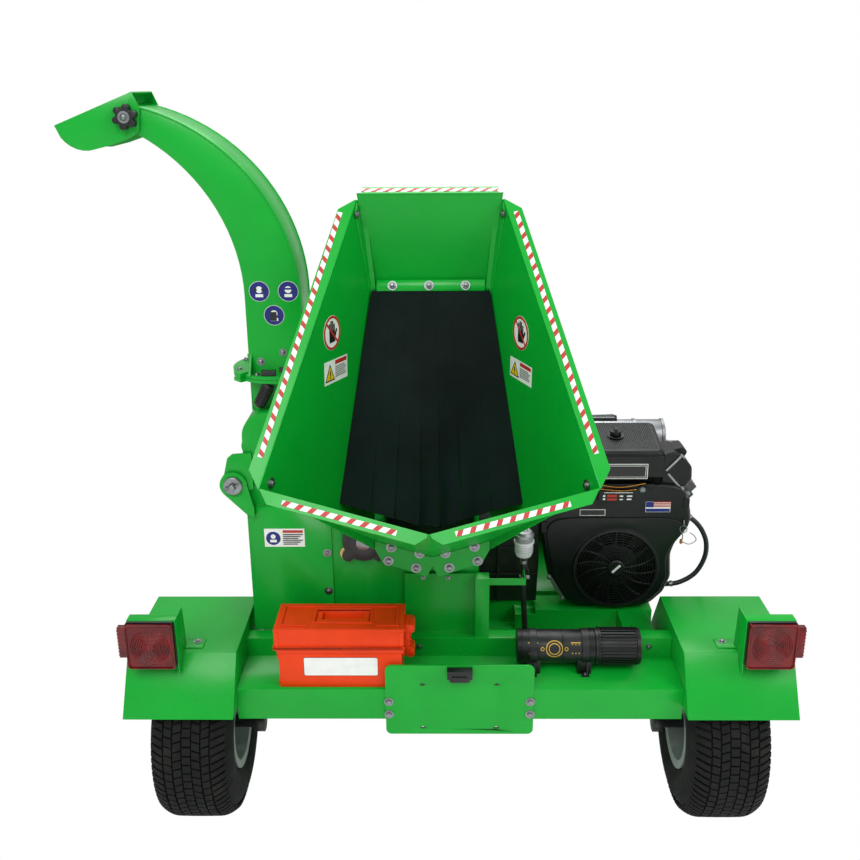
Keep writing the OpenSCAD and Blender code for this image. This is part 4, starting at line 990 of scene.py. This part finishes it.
CHUTE_FACE = facing(79.9)
for i, (x, z) in enumerate(((-400, 1352), (-468, 1352), (-436, 1295))):
    head = circle(x, z + 4, 8)
    extra = ([bar((x - 11, z + 6), (x + 11, z + 6), 4)], [circle(x - 9, z + 4, 4, 16),
        circle(x + 9, z + 4, 4, 16)], [rect(x - 9, z - 13, x + 6, z + 8)])[i]
    stack("ppe_%d" % i, CHUTE_FACE, [(WHITE, [circle(x, z, 24)]), (BLUE, [circle(x, z, 23)]),
        (WHITE, [head, bar((x - 9, z - 10), (x + 9, z - 10), 7)]), (BLUE if i == 0 else DARK, extra)],
        "chute")
stack("housing_label", facing(19.8), [(WHITE, [rect(-482, 722, -382, 771)]), (BLUE, [circle(-460, 745, 18)]),
    (RED, [rect(-436, 760, -386, 767)]), (WHITE, [circle(-460, 750, 6), bar((-468, 738), (-452, 738), 7)]),
    (DARK, [rect(-436, 754.5 - 5.2 * i, -386 - (6 * i) % 17, 756.8 - 5.2 * i) for i in range(6)])])
flange = [(*orbit(-437, 155, 106, radians(a)), 1155.2) for a in (20, 65, 110, 155, 205, 245, 290, 330)]
bolts("swivel_bolts", flange, 7, UP, "chute", washer=1.3)
make("swivel_gussets", [prism([(0, 0), (34, 0), (0, 46)], 5, axes((x, 80, 1155), REAR, UP))
    for x in (-495, -379)], GREEN, "chute", bevel=0.8)
make("swivel_stop", [box(-470, 46, 1155.3, -436, 60, 1168), box(-428, 52, 1162, -385, 57, 1176)], BLACK_STEEL,
    "chute", bevel=1)
bolts("stop_bolts", [(-474, 79.8, 1182), (-420, 79.8, 1205)], 7, body="chute", washer=1.35)
tilt = Vector((-sin(radians(28)), 0, -cos(radians(28))))
grip = [(0, 0), (13, 0), (15, 3)]
for i in range(7):
    grip += [(15.6, 5 + 7 * i), (15.6, 8 + 7 * i), (14.2, 9 + 7 * i), (14.2, 11 + 7 * i)]
grip += [(15, 56), (12, 60), (0, 60)]
top = Vector((-452, 48, 1134))
replace(make("swivel_grip", [lathe(grip, top, tilt, 12), disc(6, -13, 4, top, (0, 0, -1), 20)], PLASTIC,
    "swivel_lock"), "swivel_lock")
make("grip_core", disc(6, 59, 63, top, tilt, 20), RED, "swivel_lock")
bolts("tilt_nut", [(-737, 53.9, 1744)], 6, body="chute", washer=1.2)
make("knob_rim", lathe([(8, 51), (13, 51), (14, 54), (8, 54)], (-737, 0, 1744), AHEAD, 32, True), ZINC,
    "deflector_knob")
# welded seams along the outside of the chute's bend
BEND_R = 455
for y in (80, 230):
    bend = [orbit(-371 - BEND_R, 1324, BEND_R, radians(79 * i / 24)) for i in range(25)]
    make("chute_seam_%d" % y, tube([(-371, y, 1160)] + [(x, y, z) for x, z in bend], 2.2, 8, 0), GREEN,
        "chute", smooth=True)

# ---- hinge

make("hinge_washer", [lathe([(9, -3.2), (21, -3.2), (22.5, -2), (22.5, 0), (9, 0)], HINGE, AHEAD, 40, True),
    lathe([(0, -14), (6.5, -14), (8, -12), (8, -3), (0, -3)], HINGE, AHEAD, 28)], ZINC, bevel=0.4)
make("split_pin", [tube([(-566, -9, 884), (-552, -9, 890), (-540, -9, 896), (-532, -9, 898)], 1.6, 8, 3),
    tube([(-566, -9, 889), (-556, -9, 891)], 1.4, 8, 2)], ZINC, smooth=True)

# ---- black sheet painting the shade beside the belt, and rear details

# a black sheet and its folds, put where the engine and belt guard cast shade over the frame: painted shade
make("shade_sheet_beside_belt", prism([(60, 438), (221, 438), (225, 560), (222, 700), (180, 742), (60, 742)], 3,
    xz(266)), BLACK_STEEL, bevel=1)
make("shade_sheet_folds", [box(60, 256, 600, 222, 263, 606), box(60, 256, 520, 222, 263, 526),
    box(110, 252, 440, 118, 263, 742)], BLACK_STEEL, bevel=1)

guard_face = (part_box("belt_guard")[1][1] - HOME.y) / MM + 0.1
PULLEYS = ((*CRANK, 84), (-236, 738, 119))
bolts("guard_bolts", [(x + r * cos(a), guard_face, z + r * sin(a)) for x, z, r in PULLEYS
    for a in (0.9, 2.2, 4.0, 5.4)], 6, AHEAD, washer=1.5)
make("guard_rings_front", [lathe([(r0, 0), (r0 + 5, 0), (r0 + 4, 2.5), (r0 + 1, 2.5)], (x, guard_face, z),
    AHEAD, 56, True) for x, z, _ in PULLEYS for r0 in (34, 62)], BLACK_STEEL)
straps = [box(x, 708, 440, x + 24, 892, 642.5) for x in (100, 196)] + [box(-290, 720, 440, -264, 900, 634.5)]
make("tank_and_battery_straps", straps, PLASTIC, bevel=1.5)
make("battery_lid_ribs", [box(x, 740, 631, x + 6, 880, 635) for x in (-390, -370, -350, -330, -200, -180,
    -160, -140)], PLASTIC, bevel=1)
for side, name in SIDES:
    bolts("coupler_bolts_" + name, [(side * 46.1, y, 397) for y in (1640, 1710)], 8, (side, 0, 0), washer=1.4)
loom = [(26, 800, 437), (26, 1100, 437), (24, 1400, 437), (20, 1560, 438)]
make("lamp_loom", tube(loom, 4.5, 12, 4), HOSE, smooth=True)
make("lamp_plug", [lathe([(0, 0), (9, 0), (11, 6), (11, 34), (0, 34)], (20, 1558, 443), AHEAD, 24),
    box(14, 1566, 450, 26, 1588, 457)], PLASTIC, bevel=1)

# ---- stage


def camera_sees(tree, shown, otherwise, output):
    """The camera meets one shader, every other ray the other."""
    mix = tree.nodes.new("ShaderNodeMixShader")
    path = tree.nodes.new("ShaderNodeLightPath")
    for out, into in ((path.outputs["Is Camera Ray"], mix.inputs[0]), (otherwise.outputs[0], mix.inputs[1]),
            (shown.outputs[0], mix.inputs[2]), (mix.outputs[0], output.inputs["Surface"])):
        tree.links.new(out, into)


def stage():
    """White studio: backdrop, bounce floor, three soft lamps and the photo's camera."""
    scene = bpy.context.scene
    scene.view_settings.view_transform = "Standard"
    scene.world = bpy.data.worlds.new("studio")
    scene.world.use_nodes = True
    tree = scene.world.node_tree
    room = tree.nodes["Background"]
    room.inputs["Strength"].default_value = 0.55
    # a pure white backdrop for the camera, a softer room for the light
    backdrop = tree.nodes.new("ShaderNodeBackground")
    for n in (room, backdrop):
        n.inputs["Color"].default_value = (1, 1, 1, 1)
    camera_sees(tree, backdrop, room, tree.nodes["World Output"])
    floor = bpy.data.meshes.new("floor")
    floor.from_pydata([(-14, -10, 0), (14, -10, 0), (14, 14, 0), (-14, 14, 0)], [], [(0, 1, 2, 3)])
    pale = Shader("pale_floor", (0.93, 0.93, 0.93, 1), 0.8, spec=0.1)
    pale.vary((0.92, 0.92, 0.92, 1), (0.94, 0.94, 0.94, 1), 2)
    # the floor bounces light upwards but leaves the backdrop white
    clear = pale.node("ShaderNodeBsdfTransparent")
    camera_sees(pale.tree, clear, pale.bsdf, pale.tree.nodes["Material Output"])
    floor.materials.append(pale.mat)
    put("floor", floor)
    lamps = (((-1.2, -3.4, 4.6), (0, 0, 0.9), 2.6, 150), ((3.2, -2.2, 3.6), (0, 0, 0.8), 2.2, 60),
        ((0.2, 2.6, 5.0), (0, 0.2, 0.8), 3.4, 150))
    for at, aim, size, power in lamps:
        light = bpy.data.lights.new("soft", "AREA")
        light.energy = power
        light.size = size
        lamp = put("soft", light)
        lamp.location = Vector(at) + HOME
        lamp.rotation_euler = (Vector(aim) - Vector(at)).to_track_quat("-Z", "Y").to_euler()
    camera = bpy.data.cameras.new("camera")
    camera.sensor_width = 36
    camera.lens = 41.86
    camera.clip_end = 200
    eye = put("camera", camera)
    eye.location = Vector((-0.0385, -2.236, 1.805)) + HOME
    pan, pitch, roll = [Matrix.Rotation(radians(a), 3, axis) for a, axis in ((0.78, "Z"), (71, "X"),
        (-0.4, "Z"))]
    eye.rotation_euler = (pan @ pitch @ roll).to_euler()
    scene.camera = eye


stage()
